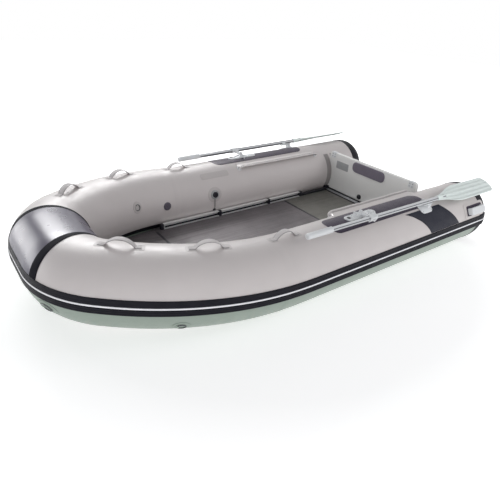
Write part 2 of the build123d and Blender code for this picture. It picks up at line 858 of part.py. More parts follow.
# ---- oar clips: a foot, a post, a rest under the shaft and a lip on its inboard side -------------
clip_shift = shaft_y + (lock_x - clip_x) * tan(yaw)
clip_angle = lock_angle + degrees(atan2(clip_shift, arm_centre))
clip_reach = hypot(clip_shift, arm_centre)
clip_plane = around(side_plane(clip_x), 0, clip_angle)
clip_rest = clip_reach - shaft_radius - oar_clearance
clip_inner = pad_radius + bond_gap
clip_waist = clip_inner + clip_thickness / 2
clip_lip_y = shaft_radius + oar_clearance + clip_wall / 2
with BuildPart() as oar_clips:
    rounded_sheet(
        clip_inner,
        clip_inner + clip_thickness,
        clip_from_angle,
        clip_to_angle,
        clip_x - clip_length / 2,
        clip_x + clip_length / 2,
        clip_corner,
    )
    with BuildSketch(clip_plane.offset(clip_waist)) as post:
        with Locations((-clip_post_offset, 0)):
            Rectangle(clip_post_length, 2 * clip_lip_y + clip_wall)
    extrude(post.sketch, amount=clip_rest - clip_waist)
    with BuildSketch(clip_plane.offset(clip_rest - clip_wall)) as rest:
        Rectangle(clip_rest_length, 2 * clip_lip_y + clip_wall)
    extrude(rest.sketch, amount=clip_wall)
    with BuildSketch(clip_plane.offset(clip_rest - clip_wall)) as lip:
        with Locations(((clip_rest_length - clip_lip_length) / 2, -clip_lip_y)):
            Rectangle(clip_lip_length, clip_wall)
    extrude(lip.sketch, amount=clip_wall + oar_clearance + shaft_radius)
    mirror(about=Plane.XZ)
finish(oar_clips, "oar_clips")

# ---- grab straps: webbing arches with glued feet -----------------------------------------------


def grab_strap(section):
    """One webbing arch along the tube, its two feet lying on the skin."""
    plane = around(section, sheet_radius, strap_angle)
    half = strap_span / 2
    arch_radius = (half**2 + strap_rise**2) / (2 * strap_rise)
    lining_half = ((arch_radius - strap_thickness) ** 2 - (arch_radius - strap_rise) ** 2) ** 0.5
    lining_rise = strap_rise - strap_thickness
    side = Plane(origin=plane.origin, x_dir=plane.x_dir, z_dir=plane.x_dir.cross(plane.z_dir))
    with BuildSketch(side.offset(-strap_width / 2)) as arch:
        with BuildLine() as outline:
            outer = ThreePointArc((-half, 0), (0, strap_rise), (half, 0))
            inner = ThreePointArc((-lining_half, 0), (0, lining_rise), (lining_half, 0))
            Line(outer @ 0, inner @ 0)
            Line(outer @ 1, inner @ 1)
        make_face(outline.edges())
        for end in (-1, 1):
            with Locations((end * (half + strap_foot / 2 - strap_thickness), strap_thickness / 2)):
                Rectangle(strap_foot, strap_thickness)
    extrude(arch.sketch, amount=strap_width)


with BuildPart() as grab_straps:
    grab_strap(side_plane(stern_x + strap_station))
    for degrees in strap_shoulder_turns:
        grab_strap(shoulder_plane(degrees))
    add(tube_space.part, mode=Mode.SUBTRACT)

with BuildPart() as grab_straps_port:
    add(grab_straps.part)
finish(grab_straps_port, "grab_straps_port")

with BuildPart() as grab_straps_starboard:
    add(grab_straps.part.mirror(Plane.XZ))
finish(grab_straps_starboard, "grab_straps_starboard")

# ---- seat rails: a glued strip, a flap that stands off the tube and the bolt rope along its edge --
rope_reach = tube_radius + rail_rope_reach
sheet_middle = (sheet_radius + pad_radius) / 2


def rail_strip():
    ring_band(sheet_radius, pad_radius, rail_from_angle, rail_to_angle)


def on_section(radius, degrees):
    """Point in a section plane of the side tube, at a radius and an angle from the crest."""
    return (radius * sin(radians(degrees)), radius * cos(radians(degrees)))


with BuildPart() as seat_rails:
    run_side(rail_strip, rail_aft_x, rail_front_x)
    with BuildSketch(side_plane(rail_aft_x)) as flap:
        with BuildLine() as flap_line:
            Line(on_section(sheet_middle, rail_flap_angle), on_section(rope_reach, rail_rope_angle))
        trace(flap_line.edges(), line_width=patch_thickness)
        with Locations(on_section(rope_reach, rail_rope_angle)):
            Circle(rail_rope_radius)
    extrude(flap.sketch, amount=rail_front_x - rail_aft_x)
    mirror(about=Plane.XZ)
finish(seat_rails, "seat_rails")

# ---- valves on the inner sides -----------------------------------------------------------------


def button(plane, steps):
    """Coaxial discs standing on the skin, sunk to its curve and then cut back by it."""
    for radius, height in steps:
        with BuildSketch(plane.offset(-skin_sink)) as disc:
            Circle(radius)
        extrude(disc.sketch, amount=height + skin_sink)


with BuildPart() as inflation_valves:
    valve_plane = around(side_plane(stern_x + valve_station), sheet_radius, valve_angle)
    button(valve_plane, ((valve_radius, valve_height),))
    button(valve_plane, ((valve_cap_radius, valve_height + valve_cap_height),))
    mirror(about=Plane.XZ)
    add(tube_space.part, mode=Mode.SUBTRACT)
finish(inflation_valves, "inflation_valves")

with BuildPart() as relief_valves:
    relief_plane = around(shoulder_plane(relief_turn), sheet_radius, relief_angle)
    button(relief_plane, ((relief_radius, relief_height),))
    mirror(about=Plane.XZ)
    add(tube_space.part, mode=Mode.SUBTRACT)
finish(relief_valves, "relief_valves")

# ---- rings on patches --------------------------------------------------------------------------


def ring_on_patch(plane):
    """A patch with a wire ring lying flat against it, its near side under a keeper."""
    button(plane, ((ring_patch_radius, patch_thickness),))
    with Locations(plane.offset(patch_thickness + ring_wire - ring_seat)):
        Torus(ring_radius, ring_wire)
        with Locations((ring_radius, 0, 0)):
            Box(keeper_length, keeper_width, 2 * ring_wire)


with BuildPart() as inner_rings:
    ring_on_patch(around(shoulder_plane(inner_ring_turn), sheet_radius, inner_ring_angle))
    mirror(about=Plane.XZ)
    add(tube_space.part, mode=Mode.SUBTRACT)
finish(inner_rings, "inner_rings")

with BuildPart() as lifting_rings:
    ring_on_patch(around(shoulder_plane(lifting_ring_turn), sheet_radius, lifting_ring_angle))
    mirror(about=Plane.XZ)
    add(tube_space.part, mode=Mode.SUBTRACT)
finish(lifting_rings, "lifting_rings")

with BuildPart() as tow_rings:
    ring_on_patch(around(corner_section(tow_ring_turn), sheet_radius, tow_ring_angle))
    mirror(about=Plane.XZ)
    add(tube_space.part, mode=Mode.SUBTRACT)
finish(tow_rings, "tow_rings")

# ---- carry handles near the stern: a moulded foot, two posts and a grip --------------------------
handle_x = stern_x + handle_station
handle_plane = around(side_plane(handle_x), 0, handle_angle)
handle_top = sheet_radius + handle_thickness
handle_gap_top = handle_top + handle_standoff
with BuildPart() as carry_handles:
    rounded_sheet(
        sheet_radius,
        handle_top,
        handle_from_angle,
        handle_to_angle,
        handle_x - handle_length / 2,
        handle_x + handle_length / 2,
        handle_corner,
    )
    with BuildSketch(handle_plane.offset(handle_top - handle_thickness / 2)) as posts:
        with GridLocations(handle_post_spread, 0, 2, 1):
            Rectangle(handle_post_length, handle_grip_width)
    extrude(posts.sketch, amount=handle_thickness / 2 + handle_standoff)
    with BuildSketch(handle_plane.offset(handle_gap_top)) as grip:
        Rectangle(handle_post_spread + handle_post_length, handle_grip_width)
    extrude(grip.sketch, amount=handle_grip_thickness)
    mirror(about=Plane.XZ)
finish(carry_handles, "carry_handles")
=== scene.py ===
"""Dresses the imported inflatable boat: smooth skins, trim, fittings, finishes, floor, light and camera.

Metres, with +X forward, +Y port and +Z up, as in the frame. The port tube runs straight from the stern,
lifts through the sheer, turns inwards through the shoulder and the corner, and crosses the nose. A place on
its skin is a run along the tube, an angle from its crest, positive outboard, and a height above the skin.
"""

from math import asin, atan2, cos, hypot, pi, radians, sin, tan

import bmesh
import bpy
import numpy as np
from bpy.props import FloatProperty, FloatVectorProperty, PointerProperty
from mathutils import Matrix, Vector


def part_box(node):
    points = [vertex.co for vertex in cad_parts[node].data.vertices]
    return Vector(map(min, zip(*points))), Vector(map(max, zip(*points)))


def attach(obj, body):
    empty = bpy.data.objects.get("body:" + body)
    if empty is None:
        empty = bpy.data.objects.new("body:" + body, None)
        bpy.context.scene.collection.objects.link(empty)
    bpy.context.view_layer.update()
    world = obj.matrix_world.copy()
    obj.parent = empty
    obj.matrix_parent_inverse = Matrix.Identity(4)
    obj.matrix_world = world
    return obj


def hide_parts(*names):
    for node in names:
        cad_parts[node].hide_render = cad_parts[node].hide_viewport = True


bl_info = {
    "name": "Inflatable boat dressing",
    "version": (1, 0, 0),
    "blender": (4, 5, 0),
    "location": "View3D > Sidebar > Boat",
    "description": "Builds the skins, trim and finishes of a rigid-floor inflatable boat",
    "category": "Add Mesh",
}

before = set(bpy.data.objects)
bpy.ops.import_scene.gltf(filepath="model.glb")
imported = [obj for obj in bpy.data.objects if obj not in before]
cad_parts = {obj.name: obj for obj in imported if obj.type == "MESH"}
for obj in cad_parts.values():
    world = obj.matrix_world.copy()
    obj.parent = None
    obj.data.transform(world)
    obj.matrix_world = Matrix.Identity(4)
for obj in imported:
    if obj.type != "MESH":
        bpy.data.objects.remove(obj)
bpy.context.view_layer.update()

AHEAD = np.array((1.0, 0.0, 0.0))
PORT = np.array((0.0, 1.0, 0.0))
UP = np.array((0.0, 0.0, 1.0))
SIDES = {"port": 1, "starboard": -1}

# ---- the tube's run, from the frame's boxes and the hull's bends ---------------------------------
tube_low, tube_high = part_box("side_tube_port")
TUBE_RADIUS = 0.22
TUBE_Y = (tube_low.y + tube_high.y) / 2
HALF_LENGTH = -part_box("stern_caps")[0].x
STRAKE_DEPTH = 0.008
SHEER_ANGLE = radians(4.5)
SHEER_RADIUS = 2.6
SHOULDER_TURN = 38.0
SHOULDER_ANGLE = radians(SHOULDER_TURN)
CORNER_RADIUS = 0.3
NOSE_HALF = 0.115
STERN_ROUNDING = 0.125
SHOULDER_RADIUS = (TUBE_Y - NOSE_HALF - CORNER_RADIUS * cos(SHOULDER_ANGLE)) / (1 - cos(SHOULDER_ANGLE))
BOW_LENGTH = SHOULDER_RADIUS * sin(SHOULDER_ANGLE) + CORNER_RADIUS * (1 - sin(SHOULDER_ANGLE))
BOW_X = HALF_LENGTH - TUBE_RADIUS - STRAKE_DEPTH - BOW_LENGTH * cos(SHEER_ANGLE)
SIDE_RUN = HALF_LENGTH + BOW_X - SHEER_RADIUS * sin(SHEER_ANGLE)
SHOULDER_START = SIDE_RUN + SHEER_RADIUS * SHEER_ANGLE
CORNER_START = SHOULDER_START + SHOULDER_RADIUS * SHOULDER_ANGLE
NOSE_START = CORNER_START + CORNER_RADIUS * (pi / 2 - SHOULDER_ANGLE)
FULL_RUN = NOSE_START + NOSE_HALF


def on_shoulder(turn):
    """Run at which the shoulder has turned by an angle in degrees."""
    return SHOULDER_START + SHOULDER_RADIUS * radians(turn)


# ---- skins and trim on the tubes: heights above the skin, runs, and angles in degrees ------------
SKIN = 0.0003
SHEET = 0.0023
CAP_RUN = 0.158
CAP_PROUD = 0.0008
LOWER_FABRIC_ANGLE = 95.0
STRAKE_TOP, STRIPE_TOP, STRIPE_FOOT, STRAKE_FOOT = 78.0, 87.6, 90.4, 100.0
BAND_FOOT = 77.5
BAND_TOP = 31.0
BAND_ARCS = ((0.8, 0.455, 0.0), (1.03, 0.315, 0.1))
BOW_CAP_INNER = -120.0
BOW_CAP_YAW = radians(14.7)
BOW_CAP_CORNER = (HALF_LENGTH - 0.25, 0.212, 0.0)
CAP_EDGE_FROM, CAP_EDGE_TO, CAP_EDGE_PROUD = -0.004, 0.03, 0.0009
WRINKLE_DEPTH, WRINKLE_PITCH = 0.0005, 0.034
JOINT_TAPE, JOINT_TAPE_PROUD = 0.05, 0.0016
BOTTOM_TAPE_START, BOTTOM_TAPE_ANGLES, BOTTOM_TAPE_PROUD = 0.43, (-153.0, -136.0), 0.0014
JOINT_ANGLES = (-146.0, -38.0)
# A dark band of painted shade on the skin along the floor's edge at the bow.
EDGE_SHADE_START = 2.14
EDGE_SHADE_ANGLES = (-154.0, -123.5)

# ---- transom and floor ---------------------------------------------------------------------------
TRANSOM_RUN = 0.453
TRANSOM_X = TRANSOM_RUN - HALF_LENGTH
TRANSOM_THICKNESS = 0.028
TRANSOM_TOP = 0.432
TRANSOM_SHOULDER = 0.462
TRANSOM_CORNER = 0.024
TRANSOM_FOOT, TRANSOM_FOOT_ANGLE = 0.014, radians(145.5)
MOTOR_PAD_DROP, BRACKET_SCREW_INSET = 0.012, 0.023
FLOOR_TOP = 0.088
FLOOR_INSET = 0.18304
FLOOR_THICKNESS = 0.022
FLOOR_GAP = 0.003
STRINGER_JOINTS = (2.16, 1.66, 1.175, 0.82)
STRINGER_INSET, STRINGER_GROOVE = 0.0135, 0.1075
PLUG_PLACE = (-0.058, 0.135)
PLATE_PLACE = (-0.301, 0.338)
PLUG = (
    (0, 0.0003), (0.022, 0.0003), (0.022, 0.0038), (0.0205, 0.005), (0.0165, 0.005), (0.015, 0.0042),
    (0.014, 0.0155), (0.012, 0.0168), (0.009, 0.0168), (0.008, 0.013), (0, 0.0125),
)

# ---- oars and what carries them ------------------------------------------------------------------
LOCK_RUN = 1.31
LOCK_ANGLE = 4.0
LOCK_FOOT = (LOCK_RUN - 0.006, 3.5)
SHAFT_ANGLE = 24.3
SHAFT_REACH = 0.274
OAR_YAW = radians(0.9)
LEAN = radians(SHAFT_ANGLE - LOCK_ANGLE)
CLIP_RUN = 0.752
CLIP_ANGLE = 28.5
CRADLE_BORE, CRADLE_WALL, CRADLE_HALF_LENGTH, CRADLE_HALF_ANGLE = 0.0212, 0.0048, 0.048, radians(46)
CHAFE_RUN, CHAFE_ANGLE, CHAFE_HALF_ANGLE = 1.145, 5.5, 21.5
FLUTES = 4
BLADE_NECK, BLADE_HALF, BLADE_FLARE, BLADE_TIP, BLADE_ROUND = 0.019, 0.072, 0.25, 0.588, 0.055
BLADE_START = 0.655
BLADE_WEB, BLADE_SPINE, BLADE_CREASE = 0.0034, 0.0165, 0.0026
GRIP = (
    (0.0153, 0.46), (0.0153, 0.3425), (0.0178, 0.342), (0.019, 0.3435), (0.019, 0.35), (0.0182, 0.353),
    (0.0182, 0.36), (0.019, 0.363), (0.019, 0.5), (0.0182, 0.503), (0.0182, 0.508), (0.019, 0.511),
    (0.0188, 0.522), (0.0165, 0.529), (0.0105, 0.532), (0, 0.532),
)
SHAFT = ((0, 0.462), (0.015, 0.4615), (0.015, 0.2), (0.015, -0.2), (0.015, -0.7445), (0, -0.745))
COLLAR_BORE = 0.01515
COLLAR = (
    (COLLAR_BORE, -0.031), (0.0175, -0.031), (0.0192, -0.029), (0.0192, -0.024), (0.0182, -0.021),
    (0.0182, 0.021), (0.0192, 0.024), (0.0192, 0.029), (0.0175, 0.031), (COLLAR_BORE, 0.031),
)
KNOB = ((0, 0), (0.0085, 0), (0.0085, 0.0075), (0.007, 0.0095), (0.003, 0.01), (0, 0.01))
LOCK_BOSS = (
    (0, 0.226), (0.024, 0.226), (0.0225, 0.232), (0.018, 0.2385), (0.017, 0.243), (0.006, 0.243),
    (0.006, 0.2592), (0.011, 0.2592), (0.011, 0.2614), (0.0085, 0.263), (0, 0.2633),
)
# Dark disc of painted shade in the rowlock's eye.
LOCK_EYE_SHADE = ((0, 0.008), (0.0125, 0.008), (0.0125, 0.0102), (0.0105, 0.0108), (0, 0.0104))
LOCK_RIBS = (-0.09, -0.083, -0.076, 0.043, 0.05, 0.078, 0.085)

# ---- fittings ------------------------------------------------------------------------------------
SHARP_ANGLE = radians(38)
STRAP_RUNS = (1.925, on_shoulder(16.0), on_shoulder(34.5))
STRAP_CREST = 1.0
STRAP_HALF_WIDTH = 0.017
STRAP_HALF_THICKNESS = 0.0014
STRAP_HALF_SPAN, STRAP_RISE, STRAP_REACH, STRAP_FOOT_HEIGHT = 0.075, 0.0405, 0.106, 0.0022
RAIL_START, RAIL_STOP = 0.595, 1.427
RAIL_ROOT, RAIL_EDGE = -23.0, -36.7
RAIL_SAG, RAIL_RIPPLE, RAIL_RIPPLE_PITCH = 0.0022, 0.0009, 0.21
RAIL_END_HEIGHT, RAIL_LIFT, RAIL_END_RUN, RAIL_TAB_INSET = 0.0065, 0.0295, 0.045, 0.006
RAIL_GLUED, RAIL_TAB_ANGLE = (-27.0, -19.0), -34.0
ROPE_RADIUS = 0.005
VALVE_RUN, VALVE_ANGLE = 1.702, -78.0
VALVE_FLANGE = (
    (0, -0.006), (0.036, -0.006), (0.036, 0.003), (0.0345, 0.0052), (0.03, 0.0068), (0.027, 0.0092),
    (0.0245, 0.0092), (0.0235, 0.004), (0, 0.004),
)
VALVE_CAP = (
    (0, 0.003), (0.0215, 0.003), (0.0215, 0.0125), (0.0195, 0.0148), (0.0125, 0.0148), (0.0115, 0.0105),
    (0.005, 0.0105), (0.004, 0.0125), (0, 0.013),
)
RELIEF_RUN, RELIEF_ANGLE = on_shoulder(4.5), -84.0
RELIEF_DISC = (
    (0, -0.006), (0.03, -0.006), (0.03, 0.0025), (0.028, 0.0048), (0.02, 0.0068), (0.0115, 0.005),
    (0.0055, 0.005), (0.0045, 0.0064), (0, 0.0068),
)
BLANK_RUN, BLANK_ANGLE = 1.66, -38.0
RING_PLACES = {
    "inner_rings": (on_shoulder(17.0), -74.0),
    "lifting_rings": (on_shoulder(22.0), 125.0),
    "tow_rings": (CORNER_START + CORNER_RADIUS * radians(66.0 - SHOULDER_TURN), 115.0),
}
RING_RADIUS, RING_WIRE, RING_HEIGHT, RING_BULGE = 0.02, 0.0028, 0.0058, 0.18
HANDLE_RUN, HANDLE_ANGLE = 0.232, 62.0
HANDLE_POSTS, HANDLE_RIBS = (-0.073, 0.073), (-0.006, 0.002, 0.01, 0.018)

# Flat mouldings and trim. Each has its half length, half width, corner radius, foot height, top height, edge
# rounding, points round it, and rows from its edge to its middle.
MOULDINGS = {
    "floor_joint_strip": (0.008, 0.395, 0.003, -0.002, 0.0012, 0.0005, 72, 5),
    "motor_pad_inner": (0.172, 0.044, 0.036, 0.0003, 0.006, 0.002, 72, 5),
    "motor_pad_outer": (0.172, 0.095, 0.036, 0.0003, 0.006, 0.002, 72, 5),
    "blank_plate": (0.07, 0.033, 0.006, 0.0, 0.0012, 0.0004, 72, 5),
    "strip_before_profile": (0.0045, 0.41, 0.002, -0.002, 0.004, 0.0015, 72, 5),
    "strip_on_profile": (0.008, 0.44, 0.003, -0.002, 0.008, 0.003, 72, 5),
    "profile_corner": (0.023, 0.02, 0.01, -0.004, 0.022, 0.006, 48, 5),
    "collar_arm": (0.0125, 0.044, 0.0124, 0.2435, 0.2565, 0.0025, 64, 5),
    "collar_rib": (0.003, 0.028, 0.0028, 0.2555, 0.2615, 0.002, 40, 5),
    "rowlock_foot": (0.132, 0.028, 0.0275, 0.0026, 0.0096, 0.003, 120, 8),
    "rowlock_pad": (0.034, 0.03, 0.012, 0.008, 0.0125, 0.002, 80, 6),
    "rowlock_fin": (0.019, 0.0016, 0.0015, 0.228, 0.2405, 0.0008, 40, 5),
    "rowlock_rib": (0.0022, 0.019, 0.0021, 0.008, 0.0122, 0.0012, 40, 3),
    "clip_foot": (0.059, 0.0445, 0.03, 0.0026, 0.0076, 0.002, 110, 7),
    "clip_rim": (0.03, 0.024, 0.014, 0.006, 0.0092, 0.0012, 80, 5),
    "strap_patch": (0.028, 0.028, 0.012, 0.0, 0.0009, 0.0005, 64, 4),
    "strap_stitches": (0.0016, 0.014, 0.0015, 0.002, 0.0041, 0.0004, 32, 2),
    "rail_tab": (0.016, 0.02, 0.006, 0.0, 0.004, 0.0015, 48, 5),
    "valve_patch": (0.06, 0.06, 0.0599, 0.0, 0.0018, 0.001, 72, 8),
    "tether_foot": (0.011, 0.008, 0.004, 0.002, 0.008, 0.0015, 40, 5),
    "blank_patch": (0.125, 0.027, 0.016, 0.0, 0.0011, 0.0006, 90, 4),
    "ring_patch": (0.042, 0.042, 0.0419, 0.0, SHEET, 0.0008, 64, 5),
    "ring_keeper": (0.008, 0.013, 0.005, 0.001, 0.0085, 0.0025, 40, 5),
    "handle_patch": (0.122, 0.0545, 0.022, SKIN, 0.0033, 0.0012, 120, 7),
    # A dark block of painted shade under the handle's grip.
    "handle_well": (0.093, 0.037, 0.012, 0.0, 0.0075, 0.002, 96, 6),
    "handle_post": (0.0125, 0.024, 0.006, 0.004, 0.032, 0.002, 48, 5),
    "handle_grip": (0.086, 0.027, 0.011, 0.0263, 0.0403, 0.0045, 96, 5),
    "handle_rib": (0.055, 0.0013, 0.0012, 0.0395, 0.0412, 0.0006, 48, 5),
}

# ---- stage: each lamp's place, aim, span and watts, and whether gloss and matt surfaces see it ----
LAMPS = {
    "back_key": ((-0.5, -4.9, 2.7), (0, 0.1, 0.3), (4.5, 1.8), 165, False, True),
    "port_quarter": ((2.6, 4.2, 1.9), (-0.9, -0.4, 0.25), (3.0, 1.5), 30, False, True),
    "stern_fill": ((-3.3, 2.9, 2.4), (-0.8, 0.0, 0.3), (2.4, 1.4), 42, False, True),
    "floor_bounce": ((0.0, 0.0, 0.004), (0, 0, 1), (12.0, 9.0), 185, False, True),
    "top_card": ((0.0, -4.0, 3.8), (0.4, 0.1, 0.3), (4.8, 2.0), 470, True, False),
    "bow_card": ((4.2, -3.4, 1.1), (1.2, 0, 0.3), (3.6, 2.0), 100, True, False),
}
CAMERA_PLACE = (1.86182, 2.33821, 1.62036)
CAMERA_YAW, CAMERA_PITCH, CAMERA_ROLL = radians(-127.664), radians(29.149), radians(3.685)
CAMERA_LENS = 32.94


def linear(code):
    """Linear RGBA of an sRGB hex value: the standard curve, with its straight foot below 0.04045."""
    levels = [int(code[i : i + 2], 16) / 255 for i in (1, 3, 5)]
    return [x / 12.92 if x <= 0.04045 else ((x + 0.055) / 1.055) ** 2.4 for x in levels] + [1.0]


def colour(code, label, use):
    """Colour property with an sRGB hex default."""
    return FloatVectorProperty(
        name=label, description=use, default=linear(code), size=4, subtype="COLOR", min=0.0, max=1.0
    )


def size(value, label, use):
    """Length property in metres."""
    return FloatProperty(name=label, description=use, default=value, unit="LENGTH", min=0.0)


class BoatColours(bpy.types.PropertyGroup):
    """Colours of the boat's finishes."""

    hull: colour("#c6c0bf", "Tube fabric", "Coated fabric above the strake")
    underside: colour("#8a968c", "Lower fabric", "Coated fabric below the strake and under the hull")
    cap: colour("#35304a", "Bow cap", "Glossy doubled skin over the nose")
    navy: colour("#0f1122", "Aft band", "Colour bands on the tubes")
    rubber: colour("#0b0b15", "Rubber", "Strake, stern caps and black trim")
    stripe: colour("#ececf0", "Pinstripe", "Line between the two bands of the strake")
    floor: colour("#575355", "Floor", "Anodised floor panels")
    metal: colour("#c8cacd", "Bright metal", "Transom profile, oar shafts and screws")
    etched: colour("#f0f0f0", "Etched metal", "Stringers")
    dulled: colour("#686a6c", "Dulled steel", "Wires of the rings")
    board: colour("#e0e0de", "Transom", "Painted transom board")
    pad: colour("#6a6471", "Pads", "Motor pads, chafe pads and relief valves")
    plastic: colour("#d6d8da", "Pale plastic", "Oar fittings, grips and handles")
    blade: colour("#dbe4e1", "Blades", "Moulded oar blades")
    webbing: colour("#cbc6c6", "Webbing", "Grab straps and rail ropes")


class BoatSizes(bpy.types.PropertyGroup):
    """Sizes of the detail that is added over the solids."""

    tread: size(0.012, "Tread pitch", "Distance between the ribs along the floor")
    tread_depth: size(0.0012, "Tread depth", "Depth of the grooves between the floor's ribs")
    weave: size(0.0012, "Fabric weave", "Thread spacing that shows through the coated fabric")
    webbing_weave: size(0.0022, "Webbing weave", "Spacing of the webbing's cross threads")
    tape: size(0.05, "Seam tape width", "Width of the tapes over the tube's seams")
    flute: size(0.0014, "Shaft flute depth", "Depth of the lengthwise flutes in the oar shafts")


def sizes():
    """Sizes of the added detail."""
    return bpy.context.scene.boat_sizes


def shade(group, *factors):
    """A colour of the boat times one factor, or times a factor for each channel, up to full."""
    base = getattr(bpy.context.scene.boat_colours, group)
    return scaled(base, *factors)


def scaled(base, *factors):
    """Colour times one factor, or times a factor for each channel, up to full."""
    factors = factors * 3 if len(factors) == 1 else factors
    return [min(1.0, x * factor) for x, factor in zip(base[:3], factors)] + [1.0]


# ---- shader nodes --------------------------------------------------------------------------------


def put(tree, kind, inputs=(), **settings):
    """Adds a node with its settings, and sets or links each named or numbered input."""
    node = tree.nodes.new(kind)
    for key, value in settings.items():
        setattr(node, key, value)
    for key, value in dict(inputs).items():
        if isinstance(value, bpy.types.NodeSocket):
            tree.links.new(value, node.inputs[key])
        else:
            node.inputs[key].default_value = value
    return node


def noise(tree, vector, grain, detail):
    """Noise of 0 to 1, its features about the given size in metres."""
    cloud = put(tree, "ShaderNodeTexNoise", {"Vector": vector, "Scale": 1 / grain, "Detail": detail})
    return cloud.outputs["Fac"]


def drawn_out(tree, vector, scale, detail):
    """Noise of 0 to 1 with its own scale along each axis, so that its features are long."""
    stretch = put(tree, "ShaderNodeMapping", {"Vector": vector, "Scale": scale})
    return noise(tree, stretch.outputs[0], 1.0, detail)


def ranged(tree, value, low, high, first, last):
    """The value's range from low to high, laid over first to last and held beyond them."""
    return put(tree, "ShaderNodeMapRange", {0: value, 1: low, 2: high, 3: first, 4: last}).outputs[0]


def worked(tree, operation, *values):
    """Result of a math node on one or two values."""
    return put(tree, "ShaderNodeMath", dict(enumerate(values)), operation=operation).outputs[0]


def blended(tree, share, first, second):
    """Colour from first to second, by a share of 0 to 1."""
    return put(tree, "ShaderNodeMix", {0: share, 6: first, 7: second}, data_type="RGBA").outputs[2]


def part_of(tree, vector, axis):
    """One number of a vector."""
    return put(tree, "ShaderNodeSeparateXYZ", {0: vector}).outputs[axis]


def lay_in(tree):
    """The piece's own lay: metres along it, metres across it, and the share of a flute's depth."""
    return put(tree, "ShaderNodeAttribute", attribute_name="lay").outputs["Vector"]


def begin(name, roughness, metallic=0.0, ior=1.5, specular=0.5):
    """A new material: the material, its tree, its shader and the object coordinates."""
    material = bpy.data.materials.new(name)
    material.use_nodes = True
    tree = material.node_tree
    shader = tree.nodes["Principled BSDF"]
    values = {"Roughness": roughness, "Metallic": metallic, "IOR": ior, "Specular IOR Level": specular}
    for key, value in values.items():
        shader.inputs[key].default_value = value
    place = put(tree, "ShaderNodeTexCoord").outputs["Object"]
    return material, tree, shader, place


def mottled(tree, place, base, spread, patch):
    """Base colour lightened and darkened by a share, in soft patches of a size in metres."""
    return blended(tree, noise(tree, place, patch, 4.0), scaled(base, 1 - spread), scaled(base, 1 + spread))


def varied_roughness(tree, shader, place, low, high, patch):
    """Roughness that drifts between two values in patches of a size in metres."""
    spread = ranged(tree, noise(tree, place, patch, 3.0), 0.3, 0.7, low, high)
    tree.links.new(spread, shader.inputs["Roughness"])


def raised(tree, shader, pattern, depth, under=None):
    """Bumps the surface by a pattern of 0 to 1, to a depth in metres, over another bump where given."""
    inputs = {"Height": pattern, "Distance": depth, "Strength": 1.0}
    if under is not None:
        inputs["Normal"] = under
    bump = put(tree, "ShaderNodeBump", inputs)
    tree.links.new(bump.outputs["Normal"], shader.inputs["Normal"])
    return bump.outputs["Normal"]


def over_colour(material, share, second):
    """Blends a second colour over the one that the shader has."""
    tree = material.node_tree
    base = tree.nodes["Principled BSDF"].inputs["Base Color"]
    tree.links.new(blended(tree, share, base.links[0].from_socket, second), base)
    return material


def weathered(name, base, spread, patch, rough, **look):
    """A new material, its colour mottled and its roughness drifting by a low, a high and a patch size."""
    material, tree, shader, place = begin(name, **look)
    tree.links.new(mottled(tree, place, base, spread, patch), shader.inputs["Base Color"])
    varied_roughness(tree, shader, place, *rough)
    return material, tree, shader, place


def weave_height(tree, spacing):
    """Plain weave from two crossed sine ridges along the piece's own lay, multiplied together."""
    lay = lay_in(tree)
    turns = [worked(tree, "MULTIPLY", part_of(tree, lay, axis), 2 * pi / spacing) for axis in (0, 1)]
    return worked(tree, "MULTIPLY", *(worked(tree, "SINE", turn) for turn in turns))


# ---- finishes ------------------------------------------------------------------------------------


def coated_fabric(name, base, roughness, spread=0.05, specular=0.5):
    """PVC-coated polyester, calendered: satin, with the base cloth faintly telegraphing through."""
    rough = (roughness - 0.06, roughness + 0.08, 0.07)
    material, tree, shader, place = weathered(
        name, base, spread, 0.16, rough, roughness=roughness, ior=1.53, specular=specular
    )
    # The cloth's threads are 0.5 mm apart. They are drawn coarser, at twice the spacing in the sizes.
    grain = raised(tree, shader, weave_height(tree, sizes().weave * 2), 0.00006)
    raised(tree, shader, noise(tree, place, 0.05, 2.0), 0.0006, grain)
    return material


def tube_fabric(name, base, lower):
    """Calendered PVC fabric of the tubes: one colour above the strake and another below it."""
    material = coated_fabric(name, base, 0.42)
    tree = material.node_tree
    place = put(tree, "ShaderNodeTexCoord").outputs["Object"]
    edge = radians(LOWER_FABRIC_ANGLE) * TUBE_RADIUS
    below = worked(tree, "GREATER_THAN", part_of(tree, lay_in(tree), 1), edge)
    return over_colour(material, below, mottled(tree, place, shade(lower, 1.0), 0.05, 0.2))


def cap_gloss(name, base):
    """Lacquered PVC of the bow cap: glossy, so that it mirrors the studio in soft bands."""
    rough = (0.26, 0.32, 0.09)
    material, tree, shader, place = weathered(name, base, 0.12, 0.1, rough, roughness=0.27, ior=1.53)
    raised(tree, shader, noise(tree, place, 0.09, 1.0), 0.00012)
    return material


def extruded_rubber(name, base):
    """Extruded black PVC rubber: satin, with fine die lines along its length."""
    material, tree, shader, place = weathered(
        name, base, 0.25, 0.06, (0.52, 0.66, 0.04), roughness=0.58, ior=1.45, specular=0.25
    )
    raised(tree, shader, drawn_out(tree, lay_in(tree), (6.0, 900.0, 1.0), 2.0), 0.0002)
    return material


def extruded_stripe(name, base):
    """Extruded white PVC inlay: clean, slightly glossy, faintly soiled in patches."""
    return weathered(name, base, 0.08, 0.05, (0.3, 0.45, 0.03), roughness=0.35, ior=1.52)[0]


def moulded(name, base, roughness, spread=0.05, grit=0.0008, depth=0.00008):
    """Injection-moulded plastic: even colour, a spark-eroded grain of the given grit, soft flow marks."""
    rough = (roughness - 0.06, roughness + 0.08, 0.02)
    material, tree, shader, place = weathered(name, base, spread, 0.05, rough, roughness=roughness)
    raised(tree, shader, noise(tree, place, grit, 3.0), depth)
    return material


